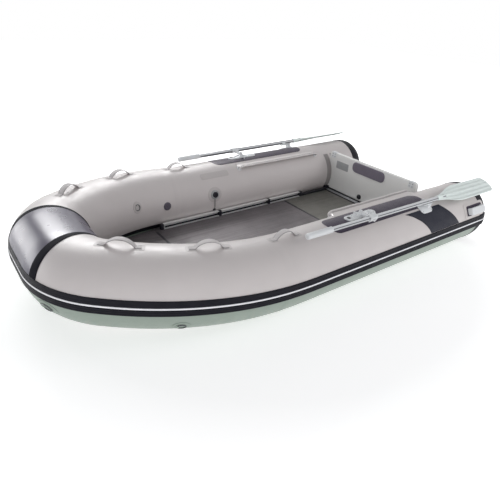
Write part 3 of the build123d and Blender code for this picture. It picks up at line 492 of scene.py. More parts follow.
def pad_rubber(name, base):
    """Moulded polyurethane pads: matt, with a pebbled grip face."""
    material, tree, shader, place = weathered(name, base, 0.12, 0.06, (0.42, 0.58, 0.03), roughness=0.5)
    pebbles = put(tree, "ShaderNodeTexVoronoi", {"Vector": place, "Scale": 1 / 0.003})
    raised(tree, shader, pebbles.outputs["Distance"], 0.0002)
    return material


def drawn_metal(name, base, roughness, along=True):
    """Extruded aluminium: pale, with die lines along the piece's lay, or along the boat."""
    material, tree, shader, place = begin(name, roughness, metallic=0.85)
    lines = drawn_out(tree, lay_in(tree) if along else place, (3.0, 900.0, 900.0), 3.0)
    tree.links.new(blended(tree, lines, scaled(base, 0.78), base), shader.inputs["Base Color"])
    varied_roughness(tree, shader, place, roughness - 0.05, roughness + 0.12, 0.03)
    raised(tree, shader, lines, 0.00008)
    return material


def shaft_metal(name, base):
    """Drawn aluminium tube of the oar shafts: bright lands, and flutes whose hollows are painted darker as
    painted shade.
    """
    material = drawn_metal(name, base, 0.3)
    tree = material.node_tree
    # Painted shade: the flutes' hollows are darkened by the share of the flute's depth.
    flute_shade = ranged(tree, part_of(tree, lay_in(tree), 2), 0.55, 0.97, 0.0, 0.8)
    return over_colour(material, flute_shade, linear("#3c3c44"))


def floor_metal(name, base):
    """Hard-anodised aluminium floor: dark grey, streaked lengthwise by rolling, and painted lighter towards
    the stern as painted light.
    """
    material, tree, shader, place = begin(name, 0.42, metallic=0.35)
    streaks = drawn_out(tree, place, (1.2, 60.0, 1.0), 6.0)
    both = worked(tree, "MULTIPLY", streaks, noise(tree, place, 0.3, 3.0))
    spread = ranged(tree, both, 0.12, 0.42, 0.0, 1.0)
    # Painted light: the floor's colour is lightened from the bow end towards the stern.
    painted_light_aft = ranged(tree, part_of(tree, place, 0), 0.7, -0.2, -0.1, 0.5)
    share = worked(tree, "ADD", spread, painted_light_aft)
    tree.links.new(blended(tree, share, scaled(base, 0.6), scaled(base, 1.6)), shader.inputs["Base Color"])
    varied_roughness(tree, shader, place, 0.36, 0.56, 0.08)
    raised(tree, shader, streaks, 0.0002)
    return material


def painted_board(name, base):
    """Marine plywood under two-pack paint: pale grey, smooth, with a faint roller stipple."""
    material, tree, shader, place = weathered(name, base, 0.04, 0.12, (0.3, 0.44, 0.05), roughness=0.36)
    raised(tree, shader, noise(tree, place, 0.004, 2.0), 0.00012)
    return material


def woven(name, base, threads=1):
    """Woven polyester: matt, with cross threads standing up and a soft sheen at the edges."""
    material, tree, shader, place = begin(name, 0.7)
    shader.inputs["Sheen Weight"].default_value = 0.25
    height = weave_height(tree, sizes().webbing_weave * threads)
    share = ranged(tree, height, -1.0, 1.0, 0.0, 1.0)
    tree.links.new(blended(tree, share, scaled(base, 0.8), base), shader.inputs["Base Color"])
    varied_roughness(tree, shader, place, 0.62, 0.8, 0.02)
    raised(tree, shader, height, 0.0003)
    return material


def strap_webbing(name, base):
    """Flat polyester webbing of the grab straps, its edges painted darker as painted shade."""
    material = woven(name, base, 2)
    tree = material.node_tree
    # Painted shade: the webbing darkens towards its edges.
    off = worked(tree, "ABSOLUTE", part_of(tree, lay_in(tree), 1))
    return over_colour(material, ranged(tree, off, 0.0125, 0.0155, 0.0, 0.75), linear("#6a6568"))


def steel(name, base, spread, patch, rough, roughness):
    """Stainless steel, its polish dulled in small patches by handling and salt."""
    return weathered(name, base, spread, patch, rough, roughness=roughness, metallic=1.0)[0]


# Each finish: its material's name, slot, maker, colour and that colour's factors, then what its maker takes.
FINISHES = {
    "tube_fabric": ("pvc_coated_tube_fabric", "hull_fabric", tube_fabric, "hull", (1.0,), "underside"),
    "seam_fabric": ("pvc_seam_tape", "hull_fabric", coated_fabric, "hull", (0.86,), 0.5),
    "joint_fabric": ("pvc_joint_tape", "hull_fabric", coated_fabric, "hull", (0.5,), 0.5),
    "bottom_fabric": ("pvc_bottom_fabric", "bottom_fabric", coated_fabric, "underside", (1.0,), 0.5, 0.09),
    "navy_fabric": ("pvc_navy_fabric", "navy_fabric", coated_fabric, "navy", (1.0,), 0.44, 0.12, 0.25),
    "cap_gloss": ("lacquered_pvc_cap", "navy_fabric", cap_gloss, "cap", (1.0,)),
    "cap_edge": ("pvc_cap_edge_tape", "navy_fabric", coated_fabric, "rubber", (1.0,), 0.7, 0.05, 0.06),
    "chafe_fabric": ("pvc_chafe_pad", "pad_plastic", coated_fabric, "pad", (0.24, 0.2, 0.28), 0.4, 0.15, 0.2),
    "extruded_rubber": ("extruded_black_rubber", "black_rubber", extruded_rubber, "rubber", (1.0,)),
    "extruded_stripe": ("extruded_white_inlay", "white_stripe", extruded_stripe, "stripe", (1.0,)),
    "pale_plastic": ("moulded_pale_nylon", "pale_plastic", moulded, "plastic", (1.0,), 0.38),
    "blade_plastic": ("moulded_polypropylene_blade", "pale_plastic", moulded, "blade", (1.0,), 0.4, 0.07),
    "black_plastic": (
        "moulded_black_nylon", "black_plastic", moulded, "rubber", (1.3,), 0.48, 0.2, 0.0012, 0.00015
    ),
    "valve_plastic": ("moulded_grey_nylon", "pale_plastic", moulded, "plastic", (0.5,), 0.42, 0.1),
    "relief_plastic": ("moulded_relief_disc", "black_plastic", moulded, "pad", (0.55,), 0.5, 0.15),
    "pad_rubber": ("moulded_polyurethane_pad", "pad_plastic", pad_rubber, "pad", (1.0,)),
    "shaft_metal": ("drawn_anodised_aluminium", "bright_metal", shaft_metal, "metal", (1.0,)),
    "stringer_metal": ("etched_anodised_aluminium", "bright_metal", drawn_metal, "etched", (1.0,), 0.62),
    "bright_metal": ("extruded_mill_aluminium", "bright_metal", drawn_metal, "metal", (1.0,), 0.36, False),
    "floor_dark": ("hard_anodised_floor", "floor_metal", floor_metal, "floor", (1.0,)),
    "floor_olive": ("hard_anodised_floor_olive", "floor_metal", floor_metal, "floor", (1.05, 1.12, 0.96)),
    "painted_board": ("painted_marine_plywood", "white_board", painted_board, "board", (1.0,)),
    "strap_webbing": ("woven_polyester_webbing", "webbing", strap_webbing, "webbing", (1.0,)),
    "rope_sleeve": ("braided_polyester_rope", "webbing", woven, "webbing", (1.35,)),
    "dulled_steel": (
        "dulled_stainless_steel", "steel", steel, "dulled", (1.0,), 0.2, 0.02, (0.24, 0.4, 0.01), 0.3
    ),
    "bright_steel": (
        "polished_stainless_steel", "steel", steel, "metal", (0.8,), 0.12, 0.01, (0.14, 0.34, 0.006), 0.2
    ),
}


def made(finish):
    """The material of a finish, made once."""
    name, slot, maker, group, factors, *values = FINISHES[finish]
    return bpy.data.materials.get(name) or maker(name, shade(group, *factors), *values)


# ---- surfaces ------------------------------------------------------------------------------------


def section(run):
    """Centre, outward, up and ahead of the port tube's section at a distance along it.

    The heading tips up by the distance through the sheer over its radius, then turns inwards by the distance
    through each bend over that bend's radius. Each bend moves the centre along its own circle.
    """
    run = np.asarray(run, float)[..., None]
    lift = np.clip(run - SIDE_RUN, 0, SHOULDER_START - SIDE_RUN) / SHEER_RADIUS
    first = np.clip(run - SHOULDER_START, 0, CORNER_START - SHOULDER_START) / SHOULDER_RADIUS
    turned = first + np.clip(run - CORNER_START, 0, NOSE_START - CORNER_START) / CORNER_RADIUS
    forward = np.cos(lift) * AHEAD + np.sin(lift) * UP
    rise = np.cos(lift) * UP - np.sin(lift) * AHEAD
    ahead = np.cos(turned) * forward - np.sin(turned) * PORT
    outward = np.cos(turned) * PORT + np.sin(turned) * forward
    centre = np.array((-HALF_LENGTH, TUBE_Y, TUBE_RADIUS)) + np.minimum(run, SIDE_RUN) * AHEAD
    centre = centre + SHEER_RADIUS * (np.sin(lift) * AHEAD + (1 - np.cos(lift)) * UP)
    centre = centre + SHOULDER_RADIUS * (np.sin(first) * forward - (1 - np.cos(first)) * PORT)
    corner = (np.sin(turned) - np.sin(first)) * forward - (np.cos(first) - np.cos(turned)) * PORT
    centre = centre + CORNER_RADIUS * corner - np.clip(run - NOSE_START, 0, None) * PORT
    return centre, outward, rise, ahead


def on_tube(run, angle, height=0.0, side=1):
    """Points above the skin: the section's centre plus the direction at the angle, times radius and height.

    Short of the stern rounding the surface turns on that rounding's own circle towards the flat end.
    """
    run, angle, height = np.broadcast_arrays(*(np.asarray(x, float) for x in (run, angle, height)))
    centre, outward, rise, ahead = section(np.maximum(run, STERN_ROUNDING))
    turn = np.radians(angle)[..., None]
    out = np.sin(turn) * outward + np.cos(turn) * rise
    back = np.clip(1 - run / STERN_ROUNDING, 0, None)[..., None]
    reach = (STERN_ROUNDING + height)[..., None]
    rounded = (np.cos(back) * out - np.sin(back) * ahead) * reach
    return (centre + out * (TUBE_RADIUS - STERN_ROUNDING) + rounded) * (1, side, 1)


def at_skin(run, angle, side=1):
    """Placing function on the skin: along the tube, away from the crew, and up."""
    return lambda a, b, h: on_tube(run + a, angle + np.degrees(b / TUBE_RADIUS), h, side)


def on_plane(origin, along, across, side=1):
    """Placing function on a flat plane: the origin plus each coordinate times its direction."""
    origin, along, across = (np.asarray(x, float) for x in (origin, along, across))
    normal = np.cross(along, across)

    def place(a, b, h):
        a, b, h = (np.asarray(x, float)[..., None] for x in np.broadcast_arrays(a, b, h))
        return (origin + a * along + b * across + h * normal) * (1, side, 1)

    return place


def tangent(run, angle, side=1):
    """Placing function on the flat plane that touches the skin at a place."""
    centre, outward, rise, ahead = section(np.array(run))
    out = sin(radians(angle)) * outward + cos(radians(angle)) * rise
    return on_plane(centre + out * TUBE_RADIUS, ahead, np.cross(out, ahead), side)


def shell(points, around=True, along=False, ends=True, lay=None):
    """Vertices, faces and lay of a grid whose columns, and rows where asked, close on themselves."""
    rows, columns = points.shape[:2]
    index = np.arange(rows * columns).reshape(rows, columns)
    wide = np.hstack([index, index[:, :1]]) if around else index
    tall = np.vstack([wide, wide[:1]]) if along else wide
    quads = np.stack([tall[:-1, :-1], tall[:-1, 1:], tall[1:, 1:], tall[1:, :-1]], -1).reshape(-1, 4)
    faces = quads.tolist()
    if ends:
        faces += [index[0].tolist(), index[-1].tolist()]
    if lay is None:
        lay = np.zeros((rows, columns, 3))
    return points.reshape(-1, 3), faces, lay.reshape(-1, 3)


def lay_of(a, b):
    """Lay coordinates in metres from two arrays: along the piece and across it."""
    a, b = np.broadcast_arrays(a, b)
    return np.stack([a, b, np.zeros_like(a)], -1)


def skin_lay(runs, angles):
    """Lay on a tube's skin: the run, and the angle in radians times the tube's radius."""
    return lay_of(runs, np.radians(angles) * TUBE_RADIUS)


def plate(top, foot, lay):
    """Closed sheet between a top grid and a foot grid of the same shape."""
    return shell(np.hstack([top, foot[:, ::-1]]), lay=np.hstack([lay, lay[:, ::-1]]))


def resampled(corners, count):
    """Closed line through corners, walked by arc length in even steps."""
    closed = np.vstack([corners, corners[:1]])
    length = np.concatenate([[0], np.cumsum(np.linalg.norm(np.diff(closed, axis=0), axis=1))])
    walk = np.linspace(0, length[-1], count, endpoint=False)
    return np.stack([np.interp(walk, length, closed[:, k]) for k in (0, 1)], -1)


def outline(half_a, half_b, corner, count=72):
    """Rounded rectangle, evenly spaced: corner arcs joined by straight sides, walked by arc length."""
    turn = np.linspace(0, pi / 2, 9)
    arcs = []
    for quarter, (sign_a, sign_b) in enumerate(((1, 1), (-1, 1), (-1, -1), (1, -1))):
        angle = turn + quarter * pi / 2
        centre = np.array((sign_a * (half_a - corner), sign_b * (half_b - corner)))
        arcs.append(centre + corner * np.stack([np.cos(angle), np.sin(angle)], -1))
    return resampled(np.vstack(arcs), count)


def slab(edge, place, foot, top, rounding=0.001, rings=5):
    """Solid under an outline: its wall rises from foot to top, rounds over, and closes to the middle.

    Each row is the outline moved in along its normals, or drawn towards its middle, at a height that rises
    along a quarter circle from the wall to the flat top.
    """
    forward = np.roll(edge, -1, 0) - np.roll(edge, 1, 0)
    normal = np.stack([forward[:, 1], -forward[:, 0]], -1)
    normal = normal / np.linalg.norm(normal, axis=1, keepdims=True)
    middle = edge.mean(0)
    turn = np.linspace(0, pi / 2, 5)
    inset = rounding * (1 - np.cos(turn))
    rise = top - rounding + rounding * np.sin(turn)
    wall = edge[None] - inset[:, None, None] * normal[None]
    share = np.linspace(1, 0, rings + 1)[1:, None, None]
    cover = middle + share * (wall[-1][None] - middle)
    under = middle + share[::-1] * (edge[None] - middle)
    flat = np.vstack([under, edge[None], wall, cover])
    heights = np.concatenate([np.full(rings + 1, foot), rise, np.full(rings, top)])
    a, b = flat[..., 0], flat[..., 1]
    return shell(place(a, b, heights[:, None]), ends=False, lay=lay_of(a, b))


def block(place, box, foot, top, rounding=0.001, count=72, shift=(0, 0), rings=5):
    """Slab under a rounded rectangle: the box is its half sizes and its corner radius."""
    return slab(outline(*box, count) + shift, place, foot, top, rounding, rings)


def moulding(name, place, shift=(0, 0)):
    """One of the mouldings of fixed size, on a placing function."""
    *box, foot, top, rounding, count, rings = MOULDINGS[name]
    return block(place, box, foot, top, rounding, count, shift, rings)


def turned(profile, place, count=40, centre=(0, 0)):
    """Turned solid: each row is a circle whose radius and height are a point of the profile."""
    radius, height = np.array(profile, float).T
    turn = np.linspace(0, 2 * pi, count, endpoint=False)
    a = centre[0] + radius[:, None] * np.cos(turn)
    b = centre[1] + radius[:, None] * np.sin(turn)
    return shell(place(a, b, height[:, None]), lay=lay_of(a, b))


def carried(path, loop, normal, closed=False):
    """Section carried along a path: each row is the path's point plus the loop's two coordinates times the
    sideways and the upright direction there, both square to the path."""
    step = (np.roll(path, -1, 0) - np.roll(path, 1, 0)) if closed else np.gradient(path, axis=0)
    ahead = step / np.linalg.norm(step, axis=1, keepdims=True)
    sideways = np.cross(ahead, np.broadcast_to(normal, path.shape))
    sideways = sideways / np.linalg.norm(sideways, axis=1, keepdims=True)
    upright = np.cross(sideways, ahead)
    points = path[:, None] + loop[None, :, :1] * sideways[:, None] + loop[None, :, 1:] * upright[:, None]
    gone = np.concatenate([[0], np.cumsum(np.linalg.norm(np.diff(path, axis=0), axis=1))])
    girth = np.linspace(0, np.linalg.norm(np.diff(loop, axis=0), axis=1).sum(), len(loop))
    return shell(points, along=closed, ends=not closed, lay=lay_of(gone[:, None], girth[None]))


def circle(radius, count):
    """Circle as a loop of two coordinates."""
    turn = np.linspace(0, 2 * pi, count, endpoint=False)
    return radius * np.stack([np.cos(turn), np.sin(turn)], -1)


def both_sides(port):
    """Rows of the port half, then its mirror image from the centreline back."""
    return np.vstack([port, port[-2::-1] * (1, -1, 1)])


def band(runs, angles, heights, foot, side=1, across=False):
    """Sheet on the skin over a grid of runs and angles, from a foot height to its top heights."""
    runs, angles = np.broadcast_arrays(runs, angles)
    top = on_tube(runs, angles, heights, side)
    under = on_tube(runs, angles, foot, side)
    lay = skin_lay(runs, angles)
    if not across:
        return plate(top, under, lay)
    return plate(both_sides(top), both_sides(under), np.vstack([lay, lay[-2::-1]]))


def screw(place, a, b, h, radius=0.0045):
    """Countersunk screw head: a shallow dome with a sunk cross-recess ring."""
    profile = [
        (0, h - 0.003), (radius, h - 0.003), (radius, h), (radius * 0.85, h + 0.0009),
        (radius * 0.5, h + 0.0012), (radius * 0.42, h + 0.0003), (0, h + 0.0002),
    ]
    return turned(profile, place, 20, (a, b))


def steps(start, stop, step):
    """Evenly spaced values with about the given step."""
    return np.linspace(start, stop, max(2, round((stop - start) / step) + 1))


def sided(build):
    """Shells that a function builds for the port side, then those for starboard."""
    return [shape for side in SIDES.values() for shape in build(side)]


def piece(name, shells, finish, replaces=(), body="hull"):
    """Joins closed shells into one object, merges poles and seams, faces them outwards and seats it."""
    start = np.cumsum([0] + [len(points) for points, _, _ in shells])
    faces = [[i + offset for i in face] for (_, part, _), offset in zip(shells, start) for face in part]
    mesh = bpy.data.meshes.new(name)
    mesh.from_pydata(np.vstack([s[0] for s in shells]), [], faces)
    lay = mesh.attributes.new("lay", "FLOAT_VECTOR", "POINT")
    lay.data.foreach_set("vector", np.vstack([s[2] for s in shells]).astype(np.float32).ravel())
    work = bmesh.new()
    work.from_mesh(mesh)
    bmesh.ops.remove_doubles(work, verts=work.verts, dist=2e-6)
    bmesh.ops.dissolve_degenerate(work, edges=work.edges, dist=1e-6)
    bmesh.ops.recalc_face_normals(work, faces=work.faces)
    work.to_mesh(mesh)
    work.free()
    mesh.shade_smooth()
    mesh.set_sharp_from_angle(angle=SHARP_ANGLE)
    obj = bpy.data.objects.new(name, mesh)
    bpy.context.scene.collection.objects.link(obj)
    mesh.materials.append(made(finish))
    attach(obj, body)
    if replaces:
        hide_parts(*replaces)
    return obj


def dress(node, finish):
    """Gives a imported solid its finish."""
    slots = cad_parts[node].data.materials
    slots.clear()
    slots.append(made(finish))


# ---- hull ----------------------------------------------------------------------------------------


def tube_rows(runs, side=1, across=False):
    """Round skin over a range of runs: a full circle of angles at each, with faint wrinkles in the bends.

    The wrinkles are a cosine along the run, strongest on the inner side of the corner.
    """
    angles = np.linspace(-180, 180, 128, endpoint=False)[None, :]
    runs = runs[:, None]
    inner = np.exp(-(((angles + 90) / 38) ** 2))
    bend = np.clip((runs - CORNER_START + 0.1) / 0.1, 0, 1)
    heights = WRINKLE_DEPTH * inner * bend * np.cos(2 * pi * runs / WRINKLE_PITCH)
    points = on_tube(runs, angles, heights, side)
    lay = skin_lay(runs, angles)
    if across:
        return shell(both_sides(points), lay=np.vstack([lay, lay[-2::-1]]))
    return shell(points, lay=lay)


class BOAT_OT_tubes(bpy.types.Operator):
    """Builds the smooth skins of the tubes and the black stern caps."""

    bl_idname = "boat.tubes"
    bl_label = "Tubes"

    def execute(self, context):
        for name, side in SIDES.items():
            skin = [tube_rows(steps(CAP_RUN, SHOULDER_START, 0.03), side)]
            piece(f"skin_side_{name}", skin, "tube_fabric", [f"side_tube_{name}"])
            skin = [tube_rows(steps(SHOULDER_START, CORNER_START, 0.02), side)]
            piece(f"skin_shoulder_{name}", skin, "tube_fabric", [f"shoulder_tube_{name}"])
        skin = [tube_rows(steps(CORNER_START, FULL_RUN, 0.006), across=True)]
        piece("skin_bow", skin, "tube_fabric", ["bow_tube"])
        piece("stern_caps_moulded", sided(self.cap), "extruded_rubber", ["stern_caps"])
        return {"FINISHED"}

    def cap(self, side):
        """Turned end: a boss in a sunk ring, the rounding's quarter circle, a skirt and a lip."""
        turn = np.linspace(pi / 2, 0, 22)
        radius = TUBE_RADIUS - STERN_ROUNDING + (STERN_ROUNDING + CAP_PROUD) * np.cos(turn)
        back = STERN_ROUNDING * np.sin(turn) - STERN_ROUNDING
        skirt = TUBE_RADIUS + CAP_PROUD
        boss = [(0, -0.004), (0.028, -0.004), (0.031, -0.007), (0.05, -0.007), (0.053, -0.0005)]
        lip = [
            (skirt, -CAP_RUN + 0.012), (skirt + 0.0014, -CAP_RUN + 0.009), (skirt + 0.0018, -CAP_RUN + 0.004),
            (skirt + 0.001, -CAP_RUN), (0, -CAP_RUN),
        ]
        place = on_plane((-HALF_LENGTH, TUBE_Y, TUBE_RADIUS), PORT, -UP, side)
        return [turned(boss + list(zip(radius, back)) + lip, place, 96)]


def ribbed(angles, depth, ribs, groove):
    """Height across a strake band: a quarter-round rise at both edges, less a narrow groove between ribs."""
    share = (angles - angles[0]) / (angles[-1] - angles[0])
    width = radians(angles[-1] - angles[0]) * TUBE_RADIUS
    edge = np.clip(np.minimum(share, 1 - share) * width / 0.003, 0, 1)
    crown = SKIN + (depth - SKIN) * np.sqrt(1 - (1 - edge) ** 2)
    return crown - groove * (0.5 - 0.5 * np.cos(2 * pi * (ribs * share - 0.5))) ** 6 * (edge >= 1)


class BOAT_OT_strake(bpy.types.Operator):
    """Builds the rubbing strake: two ribbed bands with a pinstripe between, from stern to stern."""

    bl_idname = "boat.strake"
    bl_label = "Strake"

    def execute(self, context):
        runs = steps(STERN_ROUNDING * (1 - radians(50)), FULL_RUN, 0.012)[:, None]
        for name, low, high, columns, depth, ribs, groove, finish in (
            ("upper_band", STRAKE_TOP, STRIPE_TOP, 41, 0.006, 2, 0.0012, "extruded_rubber"),
            ("lower_band", STRIPE_FOOT, STRAKE_FOOT, 41, STRAKE_DEPTH, 3, 0.0022, "extruded_rubber"),
            ("stripe", STRIPE_TOP, STRIPE_FOOT, 13, 0.006, 1, 0.0, "extruded_stripe"),
        ):
            angles = np.linspace(low, high, columns)
            rows = band(runs, angles[None], ribbed(angles, depth, ribs, groove)[None], SKIN, across=True)
            piece(f"strake_{name}_extruded", [rows], finish, [f"strake_{name}"])
        return {"FINISHED"}


def cap_seam(angles):
    """Run at which each angle's line along the tube meets the upright plane of the bow cap's seam."""
    runs = np.linspace(SHOULDER_START + 0.3, FULL_RUN, 900)
    points = on_tube(runs[None, :], angles[:, None], SHEET)
    distance = (points - np.array(BOW_CAP_CORNER)) @ np.array((-sin(BOW_CAP_YAW), cos(BOW_CAP_YAW), 0))
    first = np.argmax(distance < 0, axis=1)
    row = np.arange(len(angles))
    before, after = distance[row, first - 1], distance[row, first]
    return runs[first - 1] + (runs[first] - runs[first - 1]) * before / (before - after)


class BOAT_OT_bow_cap(bpy.types.Operator):
    """Builds the glossy bow cap and the dark tape along its edges."""

    bl_idname = "boat.bow_cap"
    bl_label = "Bow cap"

    def execute(self, context):
        angles = np.linspace(BOW_CAP_INNER, BAND_FOOT, 100)
        seam = cap_seam(angles)[None]
        runs = seam + (FULL_RUN - seam) * np.linspace(0, 1, 60)[:, None]
        piece("bow_cap_skin", [band(runs, angles[None], SHEET, SKIN, across=True)], "cap_gloss", ["bow_cap"])
        edge = seam + np.linspace(CAP_EDGE_FROM, CAP_EDGE_TO, 9)[:, None]
        lift = SHEET + CAP_EDGE_PROUD * np.sqrt(np.clip(1 - np.linspace(-1, 1, 9)[:, None] ** 6, 0, 1))
        piece("bow_cap_edges", sided(lambda side: [band(edge, angles[None], lift, SKIN, side)]), "cap_edge")
        return {"FINISHED"}


class BOAT_OT_colour_bands(bpy.types.Operator):
    """Builds the navy bands aft, each between two arcs seen from the side."""

    bl_idname = "boat.colour_bands"
    bl_label = "Colour bands"

    def execute(self, context):
        angles = np.linspace(BAND_TOP, BAND_FOOT, 60)[None, :]
        height = TUBE_RADIUS + TUBE_RADIUS * np.cos(np.radians(angles))
        aft, front = (
            run - np.sqrt(np.clip(radius**2 - (height - rise) ** 2, 0, None))
            for run, radius, rise in BAND_ARCS
        )
        runs = aft + (front - aft) * np.linspace(0, 1, 40)[:, None]
        bands = sided(lambda side: [band(runs, angles, SKIN + 0.001, 0.0, side)])
        piece("aft_bands_skin", bands, "navy_fabric", ["aft_bands"])
        return {"FINISHED"}


class BOAT_OT_seams(bpy.types.Operator):
    """Builds the tapes over the tube's seams and the darker tapes beside the transom and under the hull."""

    bl_idname = "boat.seams"
    bl_label = "Seams"

    def execute(self, context):
        piece("seam_tapes", sided(self.rings), "tube_fabric")
        piece("transom_joint_tapes", sided(self.joints), "joint_fabric")
        runs = steps(BOTTOM_TAPE_START, FULL_RUN - 0.02, 0.03)[:, None]
        under = np.linspace(*BOTTOM_TAPE_ANGLES, 12)[None]
        lower = sided(lambda side: [band(runs, under, BOTTOM_TAPE_PROUD, 0.0, side)])
        piece("bottom_joint_tapes", lower, "bottom_fabric")
        dress("hull_bottom", "bottom_fabric")
        return {"FINISHED"}

    def rings(self, side):
        """Flat tapes right round the tube, each with a low ellipse as its section."""
        turn = np.linspace(0, 2 * pi, 12, endpoint=False)
        angles = np.linspace(-180, 180, 96, endpoint=False)[:, None]
        heights = 0.0002 + 0.0006 * np.sin(turn)[None]
        for run in (SHOULDER_START, CORNER_START):
            runs = run + sizes().tape / 2 * np.cos(turn)[None]
            points = on_tube(runs, angles, heights, side)
            yield shell(points, along=True, ends=False, lay=skin_lay(runs, angles))

    def joints(self, side):
        """Tapes before and behind the transom."""
        for start in (TRANSOM_RUN, TRANSOM_RUN - TRANSOM_THICKNESS - JOINT_TAPE):
            runs = np.linspace(start, start + JOINT_TAPE, 6)[:, None]
            yield band(runs, np.linspace(*JOINT_ANGLES, 60)[None], JOINT_TAPE_PROUD, 0.0, side)


# ---- floor and transom ---------------------------------------------------------------------------


def tread(across, pitch, depth):
    """Ribbed floor height: flat-topped ribs, from a cosine of the distance across, cut off above."""
    return -depth * np.clip(0.5 - 1.6 * np.cos(2 * pi * across / pitch), 0, 1)


class BOAT_OT_floor(bpy.types.Operator):
    """Builds the ribbed aluminium floor panels and the strips over their joints."""

    bl_idname = "boat.floor"
    bl_label = "Floor"

    def execute(self, context):
        half = TUBE_Y - FLOOR_INSET
        columns = np.linspace(-half, half, round(2 * half / sizes().tread) * 6 + 1)
        for name, finish in (("aft", "floor_olive"), ("middle", "floor_dark")):
            low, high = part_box(f"floor_panel_{name}")
            rows = np.linspace(low.x, high.x, 3)
            panel = self.panel(rows, columns, np.full(3, half), FLOOR_TOP * UP, AHEAD)
            piece(f"floor_{name}_ribbed", [panel], finish, [f"floor_panel_{name}"])
        start = (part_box("floor_panel_bow")[0].x - BOW_X) / cos(SHEER_ANGLE) + 0.002
        rows = np.linspace(start, BOW_LENGTH - FLOOR_INSET, 70)
        forward = cos(SHEER_ANGLE) * AHEAD + sin(SHEER_ANGLE) * UP
        drop = (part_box("floor_panel_middle")[1].x + FLOOR_GAP / 2 - BOW_X) * tan(SHEER_ANGLE)
        foot = np.array((BOW_X, 0, FLOOR_TOP - FLOOR_THICKNESS - drop))
        top = foot + FLOOR_THICKNESS * np.cross(forward, PORT)
        panel = self.panel(rows, columns, self.bow_widths(rows), top, forward)
        piece("floor_bow_ribbed", [panel], "floor_dark", ["floor_panel_bow"])
        strips = []
        for node in ("floor_panel_middle", "floor_panel_aft"):
            place = on_plane((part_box(node)[1].x + FLOOR_GAP / 2, 0, FLOOR_TOP), AHEAD, PORT)
            strips.append(moulding("floor_joint_strip", place))
        piece("floor_joint_strips", strips, "black_plastic")
        return {"FINISHED"}

    def bow_widths(self, rows):
        """Half width of the bow panel: the shoulder's circle less the inset, then the corner's."""
        reach = SHOULDER_RADIUS - FLOOR_INSET
        shoulder = TUBE_Y - SHOULDER_RADIUS + np.sqrt(np.clip(reach**2 - rows**2, 0, None))
        into = np.clip(rows - BOW_LENGTH + CORNER_RADIUS, 0, None)
        corner = NOSE_HALF + np.sqrt(np.clip((CORNER_RADIUS - FLOOR_INSET) ** 2 - into**2, 0, None))
        return np.where(rows < reach * sin(SHOULDER_ANGLE), shoulder, corner)

    def panel(self, rows, columns, widths, origin, forward):
        """Panel whose columns are pulled in to its outline, so that the ribs stay straight."""
        across = np.clip(columns[None], -widths[:, None], widths[:, None])
        place = on_plane(origin, forward, PORT)
        along = np.broadcast_to(rows[:, None], across.shape)
        top = place(along, across, tread(across, sizes().tread, sizes().tread_depth))
        return plate(top, place(along, across, -0.0205), lay_of(along, across))


class BOAT_OT_transom(bpy.types.Operator):
    """Builds the painted transom with its pads, bracket screws, drain plug, blank plate and foot strips."""

    bl_idname = "boat.transom"
    bl_label = "Transom"

    def execute(self, context):
        inner = on_plane((TRANSOM_X, 0, 0), PORT, UP)
        outer = on_plane((TRANSOM_X - TRANSOM_THICKNESS, 0, 0), -PORT, UP)
        board = slab(self.board_edge(), inner, -TRANSOM_THICKNESS + 0.001, 0.0, 0.0025)
        piece("transom_board", [board], "painted_board", ["transom"])
        for name, place, shift in (("motor_pad_inner", inner, -0.01), ("motor_pad_outer", outer, 0.0)):
            pad = moulding(name, place, (shift, TRANSOM_TOP - MOTOR_PAD_DROP - MOULDINGS[name][1]))
            piece(f"{name}_moulded", [pad], "pad_rubber", [name])
        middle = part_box("transom_brackets")[1].y - BRACKET_SCREW_INSET
        screws = sided(lambda side: [
            screw(inner, side * middle + across, TRANSOM_TOP - BRACKET_SCREW_INSET + rise, 0.0034)
            for across in (-0.013, 0.013)
            for rise in (-0.01, 0.011)
        ])
        piece("bracket_screws", screws, "bright_steel")
        dress("transom_brackets", "pale_plastic")
        blank = [moulding("blank_plate", inner, PLATE_PLACE)]
        piece("transom_blank_plate", blank, "valve_plastic")
        piece("drain_plug_turned", [turned(PLUG, inner, 40, PLUG_PLACE)], "black_plastic", ["drain_plug"])
        dress("transom_profile", "bright_metal")
        piece("transom_foot_strips", self.foot_strips(), "extruded_rubber")
        return {"FINISHED"}

    def board_edge(self):
        """Outline of the board: a V foot, the tubes' circles, upright shoulders and rounded corners."""
        reach = TUBE_RADIUS + SKIN
        turn = np.linspace(TRANSOM_FOOT_ANGLE, asin((TUBE_Y - TRANSOM_SHOULDER) / reach), 40)
        hollow = np.stack([TUBE_Y - reach * np.sin(turn), TUBE_RADIUS + reach * np.cos(turn)], -1)
        corner = np.linspace(0, pi / 2, 8)[:, None]
        centre = np.array((TRANSOM_SHOULDER - TRANSOM_CORNER, TRANSOM_TOP - TRANSOM_CORNER))
        arc = centre + TRANSOM_CORNER * np.hstack([np.cos(corner), np.sin(corner)])
        half = np.vstack([[(0.0, TRANSOM_FOOT)], hollow, arc])
        return resampled(np.vstack([half, half[:0:-1] * (-1, 1)]), 240)

    def foot_strips(self):
        """Strips before and along the profile at the board's foot, and a corner block at each end."""
        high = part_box("transom_profile")[1]
        before = on_plane((high.x + 0.005, 0, FLOOR_TOP), AHEAD, PORT)
        along = on_plane((TRANSOM_X + 0.0085, 0, high.z), AHEAD, PORT)
        strips = [moulding("strip_before_profile", before), moulding("strip_on_profile", along)]
        for side in SIDES.values():
            place = on_plane((TRANSOM_X + 0.024, 0.437, high.z), AHEAD, PORT, side)
            strips.append(moulding("profile_corner", place))
        return strips


